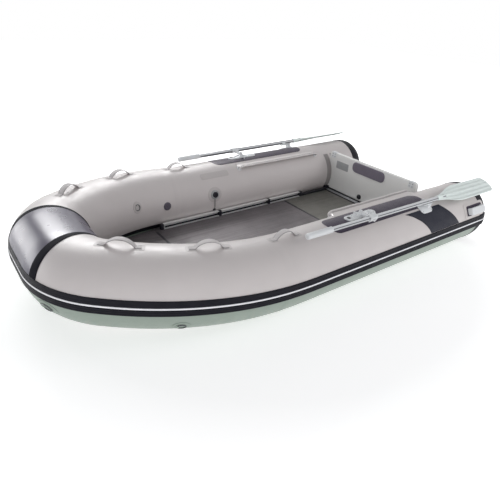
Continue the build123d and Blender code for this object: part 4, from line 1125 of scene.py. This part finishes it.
class BOAT_OT_stringers(bpy.types.Operator):
    """Finishes the stringers and builds their joints, dark strips of painted shade in their grooves, their
    end bars, and a dark band of painted shade along the floor's edge at the bow.
    """

    bl_idname = "boat.stringers"
    bl_label = "Stringers"

    def execute(self, context):
        dress("stringers", "stringer_metal")
        joints = [self.joint(run, side) for run in STRINGER_JOINTS for side in SIDES.values()]
        piece("stringer_joints_moulded", joints, "black_plastic", ["stringer_joints"])
        # Painted shade: a dark band on the tubes along the floor's edge at the bow.
        runs = steps(EDGE_SHADE_START, FULL_RUN, 0.02)[:, None]
        angles = np.linspace(*EDGE_SHADE_ANGLES, 26)[None]
        edge_shade = sided(lambda side: [band(runs, angles, SHEET, SKIN, side)])
        piece("floor_edge_gaskets", edge_shade, "extruded_rubber")
        # Painted shade: a black strip fills each stringer's groove.
        piece("stringer_groove_strips", sided(self.groove_strip), "extruded_rubber")
        piece("stringer_end_bars", sided(self.end_bar), "black_plastic")
        return {"FINISHED"}

    def joint(self, run, side):
        """Moulded joint round the stringer, from its foot to just above its top."""
        low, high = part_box("stringer_joints")
        place = on_plane((run - HALF_LENGTH, high.y - STRINGER_INSET, low.z), AHEAD, PORT, side)
        return block(place, (0.0127, 0.0137, 0.004), 0.0, high.z - low.z + 0.0006, 0.003, 40)

    def groove_strip(self, side):
        """Thin dark strip in the groove of the stringer's inner face, painted shade of the groove."""
        low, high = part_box("stringers")
        face = on_plane(((low.x + high.x) / 2, high.y - 2 * STRINGER_INSET, STRINGER_GROOVE), AHEAD, UP, side)
        return [block(face, ((high.x - low.x) / 2, 0.006, 0.0025), -0.001, 0.0012, 0.0008, 160)]

    def end_bar(self, side):
        """Low bar from the transom's profile to the aft joint."""
        low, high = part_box("stringer_joints")
        aft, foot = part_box("transom_profile")[1].x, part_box("stringers")[0].z
        place = on_plane(((aft + low.x) / 2, high.y - STRINGER_INSET, foot), AHEAD, PORT, side)
        return [block(place, ((low.x - aft) / 2 - 0.001, 0.0115, 0.006), 0.0, 0.021, 0.004, 96)]


# ---- oars and what carries them ------------------------------------------------------------------

LOCK_OUT = np.array((0, sin(radians(LOCK_ANGLE)), cos(radians(LOCK_ANGLE))))
LOCK_ACROSS = np.array((0, cos(radians(LOCK_ANGLE)), -sin(radians(LOCK_ANGLE))))
LOCK_CENTRE = np.array((LOCK_RUN - HALF_LENGTH, TUBE_Y, TUBE_RADIUS))
OAR_ALONG = cos(OAR_YAW) * AHEAD - sin(OAR_YAW) * LOCK_ACROSS
OAR_OUT = cos(LEAN) * LOCK_OUT + sin(LEAN) * LOCK_ACROSS
OAR_ACROSS = np.cross(OAR_OUT, OAR_ALONG)
OAR_CENTRE = LOCK_CENTRE + SHAFT_REACH * (cos(LEAN) * LOCK_OUT + sin(LEAN) * LOCK_ACROSS)


def by_oar(a, b, reach, side):
    """Points beside the shaft's axis: two offsets across it, and a reach along it, positive forward."""
    place = on_plane(OAR_CENTRE, OAR_ACROSS, OAR_OUT, side)
    return place(a, b, 0.0) + reach[..., None] * OAR_ALONG * (1, side, 1)


def along_oar(profile, side, count, flutes=0, depth=0.0):
    """Turned piece along the oar: radius and reach from the profile, less the depth of each lengthwise flute.

    The lay's third number is the share of the flute's depth, half of one less the cosine of the flutes' turn.
    """
    radius, reach = np.array(profile, float).T[..., None]
    turn = np.linspace(0, 2 * pi, count, endpoint=False)[None]
    share = 0.5 - 0.5 * np.cos(flutes * turn)
    radius = radius - depth * share * (radius > 0.005)
    lay = lay_of(reach, 0.015 * turn)
    # This share also sets the painted shade in the hollows of the shaft's flutes.
    lay[..., 2] = share
    return shell(by_oar(radius * np.cos(turn), radius * np.sin(turn), reach, side), lay=lay)


class BOAT_OT_oars(bpy.types.Operator):
    """Builds each oar: fluted shaft, beaded grip, creased blade and moulded collar."""

    bl_idname = "boat.oars"
    bl_label = "Oars"

    def execute(self, context):
        for name, side in SIDES.items():
            for part, look, shells, finish in (
                ("shaft", "fluted", [along_oar(SHAFT, side, 160, FLUTES, sizes().flute)], "shaft_metal"),
                ("grip", "moulded", [along_oar(GRIP, side, 48)], "pale_plastic"),
                ("blade", "creased", [self.blade(side)], "blade_plastic"),
                ("collar", "moulded", self.collar(side), "pale_plastic"),
            ):
                piece(f"oar_{part}_{name}_{look}", shells, finish, [f"oar_{part}_{name}"], f"oar_{name}")
        return {"FINISHED"}

    def blade(self, side):
        """Blade: half width eases from neck to full over the flare and rounds at the tip. Its thickness is a
        thin web plus a spine, a bell curve that fades along the blade, plus two creases beside it."""
        tip = BLADE_TIP + BLADE_ROUND * np.sin(np.linspace(0, pi / 2, 18))
        reach = np.concatenate([np.linspace(0, BLADE_FLARE, 40), np.linspace(0.26, 0.585, 24), tip])[:, None]
        ease = np.clip(reach / BLADE_FLARE, 0, 1)
        half = BLADE_NECK + (BLADE_HALF - BLADE_NECK) * ease**2 * (3 - 2 * ease)
        into = np.clip(reach - BLADE_TIP, 0, BLADE_ROUND)
        half = half - (BLADE_ROUND - np.sqrt(BLADE_ROUND**2 - into**2)) * 0.98
        turn = np.linspace(0, 2 * pi, 120, endpoint=False)[None]
        across = half * np.sin(turn)
        fade = np.clip(reach / 0.3, 0, 1)
        spine = (BLADE_SPINE - 0.0135 * fade**0.7) * np.exp(-((across / (0.011 + 0.012 * fade)) ** 2))
        crease = BLADE_CREASE * np.cos(2 * pi * across / (0.012 + 0.3 * half)) * np.clip(reach / 0.12, 0, 1)
        web = (BLADE_WEB + spine + crease) * np.clip((0.646 - reach) / 0.03, 0.25, 1)
        rim = (1 - np.abs(np.sin(turn)) ** 14) ** 0.5
        lift = np.maximum(web, 0.0016) * rim * np.sign(np.cos(turn))
        return shell(by_oar(across, lift, -BLADE_START - reach, side), lay=lay_of(reach, across))

    def collar(self, side):
        """Beaded sleeve squared off by a sixth-power curve, with an arm to the pin and a clamp knob."""
        radius, reach = np.array(COLLAR).T[..., None]
        turn = np.linspace(0, 2 * pi, 64, endpoint=False)[None]
        square = (np.cos(turn) ** 6 + np.sin(turn) ** 6) ** (-1 / 6)
        radius = radius * np.where(radius > COLLAR_BORE + 0.00005, square, 1.0)
        points = by_oar(radius * np.cos(turn), radius * np.sin(turn), reach, side)
        sleeve = shell(points, along=True, ends=False, lay=lay_of(reach, 0.02 * turn))
        place = on_plane(LOCK_CENTRE, AHEAD, LOCK_ACROSS, side)
        arm = moulding("collar_arm", place, (0, 0.032))
        rib = moulding("collar_rib", place, (0, SHAFT_REACH * sin(LEAN) / 2))
        down = on_plane(OAR_CENTRE + 0.019 * OAR_ACROSS, OAR_ALONG, -OAR_OUT, side)
        return [sleeve, arm, rib, turned(KNOB, down, 28)]


class BOAT_OT_oar_rests(bpy.types.Operator):
    """Builds the chafe pads, the rowlocks with a dark disc of painted shade in each eye and with ribs, the
    clips and their screws.
    """

    bl_idname = "boat.oar_rests"
    bl_label = "Oar rests"

    def execute(self, context):
        for name, side in SIDES.items():
            piece(f"rowlock_{name}_moulded", self.rowlock(side), "pale_plastic", [f"rowlock_{name}"])
        piece("chafe_pads_moulded", sided(self.chafe_pad), "chafe_fabric", ["chafe_pads"])
        piece("oar_clips_moulded", sided(self.clip), "pale_plastic", ["oar_clips"])
        piece("oar_rest_screws", sided(self.screws), "bright_steel")
        # Painted shade: a flat dark disc on each rowlock's foot stands for the shade in its eye.
        eye_shade_place = (0.104, 0)
        eye_shades = sided(lambda side: [turned(LOCK_EYE_SHADE, at_skin(*LOCK_FOOT, side), 36, eye_shade_place)])
        piece("rowlock_eyes", eye_shades, "black_plastic")
        piece("rowlock_foot_ribs", sided(self.ribs), "pale_plastic")
        return {"FINISHED"}

    def chafe_pad(self, side):
        """Sheet under the oar, as wide as its angle spans across the tube."""
        half = (TUBE_RADIUS + SHEET) * sin(radians(CHAFE_HALF_ANGLE))
        place = at_skin(CHAFE_RUN, CHAFE_ANGLE, side)
        return [block(place, (0.455, half, 0.06), SKIN, SHEET, 0.0008, 200, rings=12)]

    def ribs(self, side):
        """Low ribs across the rowlock's foot."""
        for a in LOCK_RIBS:
            yield moulding("rowlock_rib", at_skin(*LOCK_FOOT, side), (a, 0))

    def rowlock(self, side):
        """Foot that follows the tube, a domed boss with fins, and the pin with its head."""
        foot = moulding("rowlock_foot", at_skin(*LOCK_FOOT, side))
        pad = moulding("rowlock_pad", at_skin(LOCK_RUN, LOCK_FOOT[1], side))
        place = on_plane(LOCK_CENTRE, AHEAD, LOCK_ACROSS, side)
        fins = []
        for turn in (35, 90, 145, 215, 270, 325):
            along = cos(radians(turn)) * AHEAD + sin(radians(turn)) * LOCK_ACROSS
            upright = on_plane(LOCK_CENTRE, along, np.cross(LOCK_OUT, along), side)
            slope = lambda a, b, h, to=upright: to(a, b, h - 0.33 * (a - 0.018))
            fins.append(moulding("rowlock_fin", slope, (0.036, 0)))
        return [foot, pad, turned(LOCK_BOSS, place, 48)] + fins

    def screws(self, side):
        """Screw heads in the corners of the rowlock's foot and of the clip's foot."""
        foot = at_skin(*LOCK_FOOT, side)
        heads = [screw(foot, a, b, 0.0092, 0.0042) for a in (-0.11, -0.06, 0.064) for b in (-0.014, 0.014)]
        clip = at_skin(CLIP_RUN, CLIP_ANGLE, side)
        return heads + [screw(clip, a, b, 0.0072) for a in (-0.045, 0.045) for b in (-0.024, 0.03)]

    def clip(self, side):
        """Foot with a rim, a post, a cradle whose section is an arc under the shaft, and a lip inboard."""
        foot = moulding("clip_foot", at_skin(CLIP_RUN, CLIP_ANGLE, side))
        rim = moulding("clip_rim", at_skin(CLIP_RUN + 0.006, CLIP_ANGLE + 1.0, side))
        gap = SHAFT_REACH * sin(LEAN) + (LOCK_RUN - CLIP_RUN) * tan(OAR_YAW)
        rise = SHAFT_REACH * cos(LEAN)
        angle = radians(LOCK_ANGLE) + atan2(gap, rise)
        reach = hypot(gap, rise)
        out = np.array((0, sin(angle), cos(angle)))
        across = np.array((0, cos(angle), -sin(angle)))
        centre = np.array((CLIP_RUN - HALF_LENGTH, TUBE_Y, TUBE_RADIUS))
        place = on_plane(centre, AHEAD, across, side)
        post = block(place, (0.012, 0.024, 0.006), 0.2245, reach - 0.0235, 0.002, 60, (-0.03, 0))
        turn = np.linspace(-CRADLE_HALF_ANGLE, CRADLE_HALF_ANGLE, 25)
        arc = np.stack([np.sin(turn), -np.cos(turn)], -1)
        loop = np.vstack([arc * CRADLE_BORE, arc[::-1] * (CRADLE_BORE + CRADLE_WALL)])
        lengthwise = steps(-CRADLE_HALF_LENGTH, CRADLE_HALF_LENGTH, 0.008)[:, None]
        line = centre + reach * out + lengthwise * AHEAD
        cradle = carried(line * (1, side, 1), loop * (-side, 1), out * (1, side, 1))
        lip_place = (0.031, -0.0235)
        lip = block(place, (0.017, 0.0024, 0.0022), reach - 0.019, reach + 0.001, 0.002, 40, lip_place)
        return [foot, rim, post, cradle, lip]


# ---- soft fittings -------------------------------------------------------------------------------


def strap_path():
    """Arch of a grab strap: a circle's arc between flat feet, softened where it leaves the skin."""
    radius = (STRAP_HALF_SPAN**2 + STRAP_RISE**2) / (2 * STRAP_RISE)
    a = np.linspace(-STRAP_REACH, STRAP_REACH, 240)
    arc = np.sqrt(np.clip(radius**2 - a**2, 0, None)) - (radius - STRAP_RISE)
    kernel = np.hanning(17)
    height = np.convolve(np.clip(arc, 0, None), kernel / kernel.sum(), "same")
    return a, height + STRAP_FOOT_HEIGHT


class BOAT_OT_straps(bpy.types.Operator):
    """Builds the webbing grab straps, and the patches and stitching at their feet."""

    bl_idname = "boat.straps"
    bl_label = "Grab straps"

    def execute(self, context):
        for name, side in SIDES.items():
            straps = [self.strap(run, side) for run in STRAP_RUNS]
            piece(f"grab_straps_{name}_webbing", straps, "strap_webbing", [f"grab_straps_{name}"])
            patches = [patch for run in STRAP_RUNS for end in (-1, 1) for patch in self.foot(run, end, side)]
            piece(f"grab_strap_patches_{name}", patches, "seam_fabric")
        return {"FINISHED"}

    def strap(self, run, side):
        """Webbing along the arch: half its thickness to each side of it, thinner at the edges."""
        a, height = strap_path()
        slope = np.gradient(height, a)
        tip = np.sqrt(1 + slope**2)
        gone = np.concatenate([[0], np.cumsum(np.hypot(np.diff(a), np.diff(height)))])
        across = np.linspace(-STRAP_HALF_WIDTH, STRAP_HALF_WIDTH, 13)
        edge = STRAP_HALF_THICKNESS * (1 - 0.5 * np.abs(across / STRAP_HALF_WIDTH) ** 8)
        angle = (STRAP_CREST + np.degrees(across / TUBE_RADIUS))[None]
        lean = (slope / tip)[:, None] * edge
        rise = (1 / tip)[:, None] * edge
        top = on_tube(run + a[:, None] - lean, angle, height[:, None] + rise, side)
        foot = on_tube(run + a[:, None] + lean, angle, height[:, None] - rise, side)
        return plate(top, foot, lay_of(gone[:, None], across[None]))

    def foot(self, run, end, side):
        """Glued patch under one foot, and two rows of stitching over the webbing."""
        yield moulding("strap_patch", at_skin(run + end * 0.094, STRAP_CREST, side))
        for offset in (-0.006, 0.006):
            yield moulding("strap_stitches", at_skin(run + end * (0.095 + offset), STRAP_CREST, side))


class BOAT_OT_rails(bpy.types.Operator):
    """Builds the seat rails: glued strip, flap, a darker strip of painted shade on the flap beside the rope,
    rope along its edge, and end tabs.
    """

    bl_idname = "boat.rails"
    bl_label = "Seat rails"

    def execute(self, context):
        start, stop = RAIL_START, RAIL_STOP
        runs = steps(start, stop, 0.008)
        sag = RAIL_SAG * np.sin(pi * (runs - start) / (stop - start)) ** 2
        sag = sag + RAIL_RIPPLE * np.sin(2 * pi * runs / RAIL_RIPPLE_PITCH)
        into = np.clip(np.minimum(runs - start, stop - runs) / RAIL_END_RUN, 0, 1)
        reach = RAIL_END_HEIGHT + (RAIL_LIFT - sag) * np.sqrt(1 - (1 - into) ** 2)
        glued = np.linspace(*RAIL_GLUED, 12)[None]
        for name, side in SIDES.items():
            strip = band(steps(start, stop, 0.02)[:, None], glued, SHEET, SKIN, side)
            replaced = ["seat_rails"] if name == "port" else ()
            piece(f"seat_rail_{name}_strip", [strip], "tube_fabric", replaced)
            flap = self.sheet(np.linspace(0, 1, 14), (-0.12, 0.0008), (0.12, -0.0008), runs, reach, side)
            flap = piece(f"seat_rail_{name}_flap", [flap], "tube_fabric")
            rope = carried(on_tube(runs, RAIL_EDGE, reach, side), circle(ROPE_RADIUS, 16), UP)
            rope = piece(f"seat_rail_{name}_rope", [rope], "rope_sleeve")
            # Painted shade: a darker strip on the flap's outer face, beside the rope.
            rope_shade = self.sheet(np.linspace(0.62, 0.86, 6), (0.35, 0.0018), (0.05, 0.0), runs, reach, side)
            rope_shade = piece(f"seat_rail_{name}_hem", [rope_shade], "joint_fabric")
            ends = (start + RAIL_TAB_INSET, stop - RAIL_TAB_INSET)
            tabs = [moulding("rail_tab", at_skin(run, RAIL_TAB_ANGLE, side)) for run in ends]
            piece(f"seat_rail_{name}_tabs", tabs, "pale_plastic")
        return {"FINISHED"}

    def sheet(self, share, above, under, runs, reach, side):
        """Closed sheet over a share of the flap's width, its two faces shifted by degrees and by metres.

        The flap's section is a straight line from the glued root to the rope's centre.
        """
        root_angle, edge_angle = radians(RAIL_ROOT), radians(RAIL_EDGE)
        root = np.array((sin(root_angle), cos(root_angle))) * (TUBE_RADIUS + 0.0013)
        tip_radius = TUBE_RADIUS + reach[:, None]
        tip = np.stack([tip_radius * sin(edge_angle), tip_radius * cos(edge_angle)], -1)
        points = root + share[None, :, None] * (tip - root)
        height = np.hypot(points[..., 0], points[..., 1]) - TUBE_RADIUS
        angle = np.degrees(np.arctan2(points[..., 0], points[..., 1]))
        top, foot = (
            on_tube(runs[:, None], angle + turn, height + lift, side) for turn, lift in (above, under)
        )
        return plate(top, foot, lay_of(runs[:, None], share[None] * 0.06))


# ---- small fittings ------------------------------------------------------------------------------


class BOAT_OT_valves(bpy.types.Operator):
    """Builds the valves with their caps, tethers and patches, the relief valves and a blank patch."""

    bl_idname = "boat.valves"
    bl_label = "Valves"

    def execute(self, context):
        flanges = sided(lambda side: [turned(VALVE_FLANGE, tangent(VALVE_RUN, VALVE_ANGLE, side), 56)])
        piece("inflation_valve_flanges", flanges, "valve_plastic", ["inflation_valves"])
        piece("inflation_valve_caps", sided(self.cap), "black_plastic")
        reliefs = sided(lambda side: [turned(RELIEF_DISC, tangent(RELIEF_RUN, RELIEF_ANGLE, side), 40)])
        piece("relief_valve_discs", reliefs, "relief_plastic", ["relief_valves"])
        patches = sided(lambda side: [moulding("valve_patch", at_skin(VALVE_RUN, VALVE_ANGLE, side))])
        piece("inflation_valve_patches", patches, "seam_fabric")
        blank = moulding("blank_patch", at_skin(BLANK_RUN, BLANK_ANGLE, SIDES["starboard"]))
        piece("blank_side_patch", [blank], "seam_fabric")
        return {"FINISHED"}

    def cap(self, side):
        """Turned cap, the tether that winds down the skin from it, and the tether's foot."""
        yield turned(VALVE_CAP, tangent(VALVE_RUN, VALVE_ANGLE, side), 48)
        angles = np.linspace(-86, -112, 24)
        line = on_tube(VALVE_RUN + 0.004 * np.sin(np.radians(angles * 7)), angles, 0.0042, side)
        yield carried(line, circle(0.002, 10), AHEAD)
        yield moulding("tether_foot", at_skin(VALVE_RUN, -111.0, side))


class BOAT_OT_rings(bpy.types.Operator):
    """Builds the D-rings on their patches: inside, for lifting and for towing."""

    bl_idname = "boat.rings"
    bl_label = "Rings"

    def execute(self, context):
        for node, (run, angle) in RING_PLACES.items():
            finish = "seam_fabric" if angle < 0 else "bottom_fabric"
            patches = sided(lambda side: self.patch(run, angle, side))
            piece(f"{node}_patches", patches, finish, [node])
            piece(f"{node}_wires", sided(lambda side: [self.wire(run, angle, side)]), "dulled_steel")
        return {"FINISHED"}

    def patch(self, run, angle, side):
        """Round patch, and the keeper that holds the wire to it."""
        place = at_skin(run, angle, side)
        return [moulding("ring_patch", place), moulding("ring_keeper", place, (0.019, 0))]

    def wire(self, run, angle, side):
        """Closed wire: a circle whose far side is widened by a bell curve of its turn."""
        turn = np.linspace(0, 2 * pi, 48, endpoint=False)
        b = RING_RADIUS * np.sin(turn) * (1 + RING_BULGE * np.exp(-(((turn - pi) / 1.1) ** 2)))
        line = at_skin(run, angle, side)(-RING_RADIUS * np.cos(turn), b, RING_HEIGHT)
        flat = tangent(run, angle, side)
        return carried(line, circle(RING_WIRE, 12), flat(0, 0, 1) - flat(0, 0, 0), closed=True)


class BOAT_OT_handles(bpy.types.Operator):
    """Builds the moulded carry handles near the stern, with their patches and a dark block of painted shade
    under each grip.
    """

    bl_idname = "boat.handles"
    bl_label = "Carry handles"

    def execute(self, context):
        at = (HANDLE_RUN, HANDLE_ANGLE)
        patches = sided(lambda side: [moulding("handle_patch", at_skin(*at, side))])
        piece("carry_handle_patches", patches, "tube_fabric")
        # Painted shade: a dark block under each grip stands for the shade beneath it.
        grip_shades = sided(lambda side: [moulding("handle_well", tangent(*at, side))])
        piece("carry_handle_wells", grip_shades, "chafe_fabric")
        piece("carry_handles_moulded", sided(self.handle), "pale_plastic", ["carry_handles"])
        return {"FINISHED"}

    def handle(self, side):
        """Two posts, the grip across them, and ribs on the grip."""
        place = tangent(HANDLE_RUN, HANDLE_ANGLE, side)
        for end in HANDLE_POSTS:
            yield moulding("handle_post", place, (end, 0.004))
        yield moulding("handle_grip", place, (0, 0.007))
        for row in HANDLE_RIBS:
            yield moulding("handle_rib", place, (0, row))


# ---- stage ---------------------------------------------------------------------------------------


def direct_rays(tree):
    """1 for rays from the camera, from gloss and through clear pieces, and 0 for rays of matt light."""
    rays = put(tree, "ShaderNodeLightPath").outputs
    seen = worked(tree, "MAXIMUM", rays["Is Camera Ray"], rays["Is Glossy Ray"])
    return worked(tree, "MAXIMUM", seen, rays["Is Transmission Ray"])


def either(tree, share, first, second):
    """Shader from first to second, by a share of 0 to 1."""
    return put(tree, "ShaderNodeMixShader", {0: share, 1: first.outputs[0], 2: second.outputs[0]}).outputs[0]


class BOAT_OT_stage(bpy.types.Operator):
    """Makes the floor, the world, the lamps and the camera."""

    bl_idname = "boat.stage"
    bl_label = "Stage"

    def execute(self, context):
        scene = context.scene
        scene.view_settings.view_transform = "Standard"
        self.floor(scene)
        self.world(scene)
        for name, values in LAMPS.items():
            self.lamp(scene, name, *values)
        self.camera(scene)
        return {"FINISHED"}

    def floor(self, scene):
        """Pale floor: a flat grid whose edge fades into the white background."""
        span = np.linspace(-14, 14, 15)
        x, y = np.meshgrid(span, span, indexing="ij")
        points = np.stack([x, y, np.zeros_like(x)], -1)
        vertices, faces, _ = shell(points, around=False, ends=False)
        mesh = bpy.data.meshes.new("floor")
        mesh.from_pydata(vertices, [], [face[::-1] for face in faces])
        floor = bpy.data.objects.new("floor", mesh)
        scene.collection.objects.link(floor)
        material = bpy.data.materials.new("matt_studio_floor")
        material.use_nodes = True
        tree = material.node_tree
        tree.nodes.remove(tree.nodes["Principled BSDF"])
        place = put(tree, "ShaderNodeTexCoord").outputs["Object"]
        grey = mottled(tree, place, linear("#ececec"), 0.02, 0.6)
        matt = put(tree, "ShaderNodeBsdfDiffuse", {"Color": grey})
        far = put(tree, "ShaderNodeVectorMath", {0: place}, operation="LENGTH").outputs["Value"]
        level = ranged(tree, far, 1.5, 3.0, 0.47, 0.97)
        glow = put(tree, "ShaderNodeEmission", {"Color": linear("#ffffff"), "Strength": level})
        dark = put(tree, "ShaderNodeEmission", {"Strength": 0.0})
        extra = either(tree, direct_rays(tree), dark, glow)
        total = put(tree, "ShaderNodeAddShader", {0: matt.outputs[0], 1: extra})
        tree.links.new(total.outputs[0], tree.nodes["Material Output"].inputs["Surface"])
        mesh.materials.append(material)

    def world(self, scene):
        """White for camera and gloss. As light it is dimmer overhead, and dim aft and to starboard."""
        world = bpy.data.worlds.new("studio")
        world.use_nodes = True
        scene.world = world
        tree = world.node_tree
        tree.nodes.clear()
        way = put(tree, "ShaderNodeTexCoord").outputs["Generated"]
        high = ranged(tree, part_of(tree, way, 2), 0.05, 0.75, 0.95, 0.42)
        quarter = put(tree, "ShaderNodeVectorMath", {0: way, 1: (0.75, 0.66, 0.0)}, operation="DOT_PRODUCT")
        near = ranged(tree, quarter.outputs["Value"], -0.8, 0.6, 0.45, 1.1)
        level = worked(tree, "MULTIPLY", high, near)
        light = put(tree, "ShaderNodeBackground", {"Color": linear("#f4f5f8"), "Strength": level})
        white = put(tree, "ShaderNodeBackground", {"Color": linear("#ffffff"), "Strength": 1.0})
        out = put(tree, "ShaderNodeOutputWorld")
        tree.links.new(either(tree, direct_rays(tree), light, white), out.inputs["Surface"])

    def lamp(self, scene, name, location, aim, span, watts, glossy, diffuse):
        """Rectangular soft lamp, turned towards a point and hidden from the camera."""
        data = bpy.data.lights.new(name, "AREA")
        data.shape = "RECTANGLE"
        data.size, data.size_y = span
        data.energy = watts
        lamp = bpy.data.objects.new(name, data)
        scene.collection.objects.link(lamp)
        lamp.location = location
        lamp.visible_camera = False
        lamp.visible_glossy = glossy
        lamp.visible_diffuse = diffuse
        lamp.rotation_euler = (Vector(aim) - Vector(location)).to_track_quat("-Z", "Y").to_euler()

    def camera(self, scene):
        """Camera above the port bow, looking aft, rolled a little to the right."""
        yaw, pitch, roll = CAMERA_YAW, CAMERA_PITCH, CAMERA_ROLL
        forward = Vector((cos(yaw) * cos(pitch), sin(yaw) * cos(pitch), -sin(pitch)))
        right = forward.cross(Vector((0, 0, 1))).normalized()
        level = right * cos(roll) + right.cross(forward) * sin(roll)
        data = bpy.data.cameras.new("camera")
        data.sensor_width = 36.0
        data.lens = CAMERA_LENS
        camera = bpy.data.objects.new("camera", data)
        scene.collection.objects.link(camera)
        axes = Matrix((level, level.cross(forward), -forward)).transposed()
        camera.matrix_world = Matrix.Translation(CAMERA_PLACE) @ axes.to_4x4()
        scene.camera = camera


class BOAT_PT_panel(bpy.types.Panel):
    """Lists the operators in the 3D view's sidebar."""

    bl_label = "Inflatable boat"
    bl_idname = "BOAT_PT_panel"
    bl_space_type = "VIEW_3D"
    bl_region_type = "UI"
    bl_category = "Boat"

    def draw(self, context):
        for operator in OPERATORS:
            self.layout.operator(operator.bl_idname)


OPERATORS = (
    BOAT_OT_tubes,
    BOAT_OT_strake,
    BOAT_OT_bow_cap,
    BOAT_OT_colour_bands,
    BOAT_OT_seams,
    BOAT_OT_floor,
    BOAT_OT_transom,
    BOAT_OT_stringers,
    BOAT_OT_oars,
    BOAT_OT_oar_rests,
    BOAT_OT_straps,
    BOAT_OT_rails,
    BOAT_OT_valves,
    BOAT_OT_rings,
    BOAT_OT_handles,
    BOAT_OT_stage,
)
CLASSES = (BoatColours, BoatSizes, *OPERATORS, BOAT_PT_panel)


def register():
    """Registers the classes and gives the scene its colours and sizes."""
    for cls in CLASSES:
        bpy.utils.register_class(cls)
    bpy.types.Scene.boat_colours = PointerProperty(type=BoatColours)
    bpy.types.Scene.boat_sizes = PointerProperty(type=BoatSizes)


def unregister():
    """Takes the colours and sizes off the scene and unregisters the classes."""
    del bpy.types.Scene.boat_sizes
    del bpy.types.Scene.boat_colours
    for cls in reversed(CLASSES):
        bpy.utils.unregister_class(cls)


def main():
    """Registers the add-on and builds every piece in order."""
    register()
    for operator in OPERATORS:
        group, name = operator.bl_idname.split(".")
        getattr(getattr(bpy.ops, group), name)()


if __name__ == "__main__":
    main()
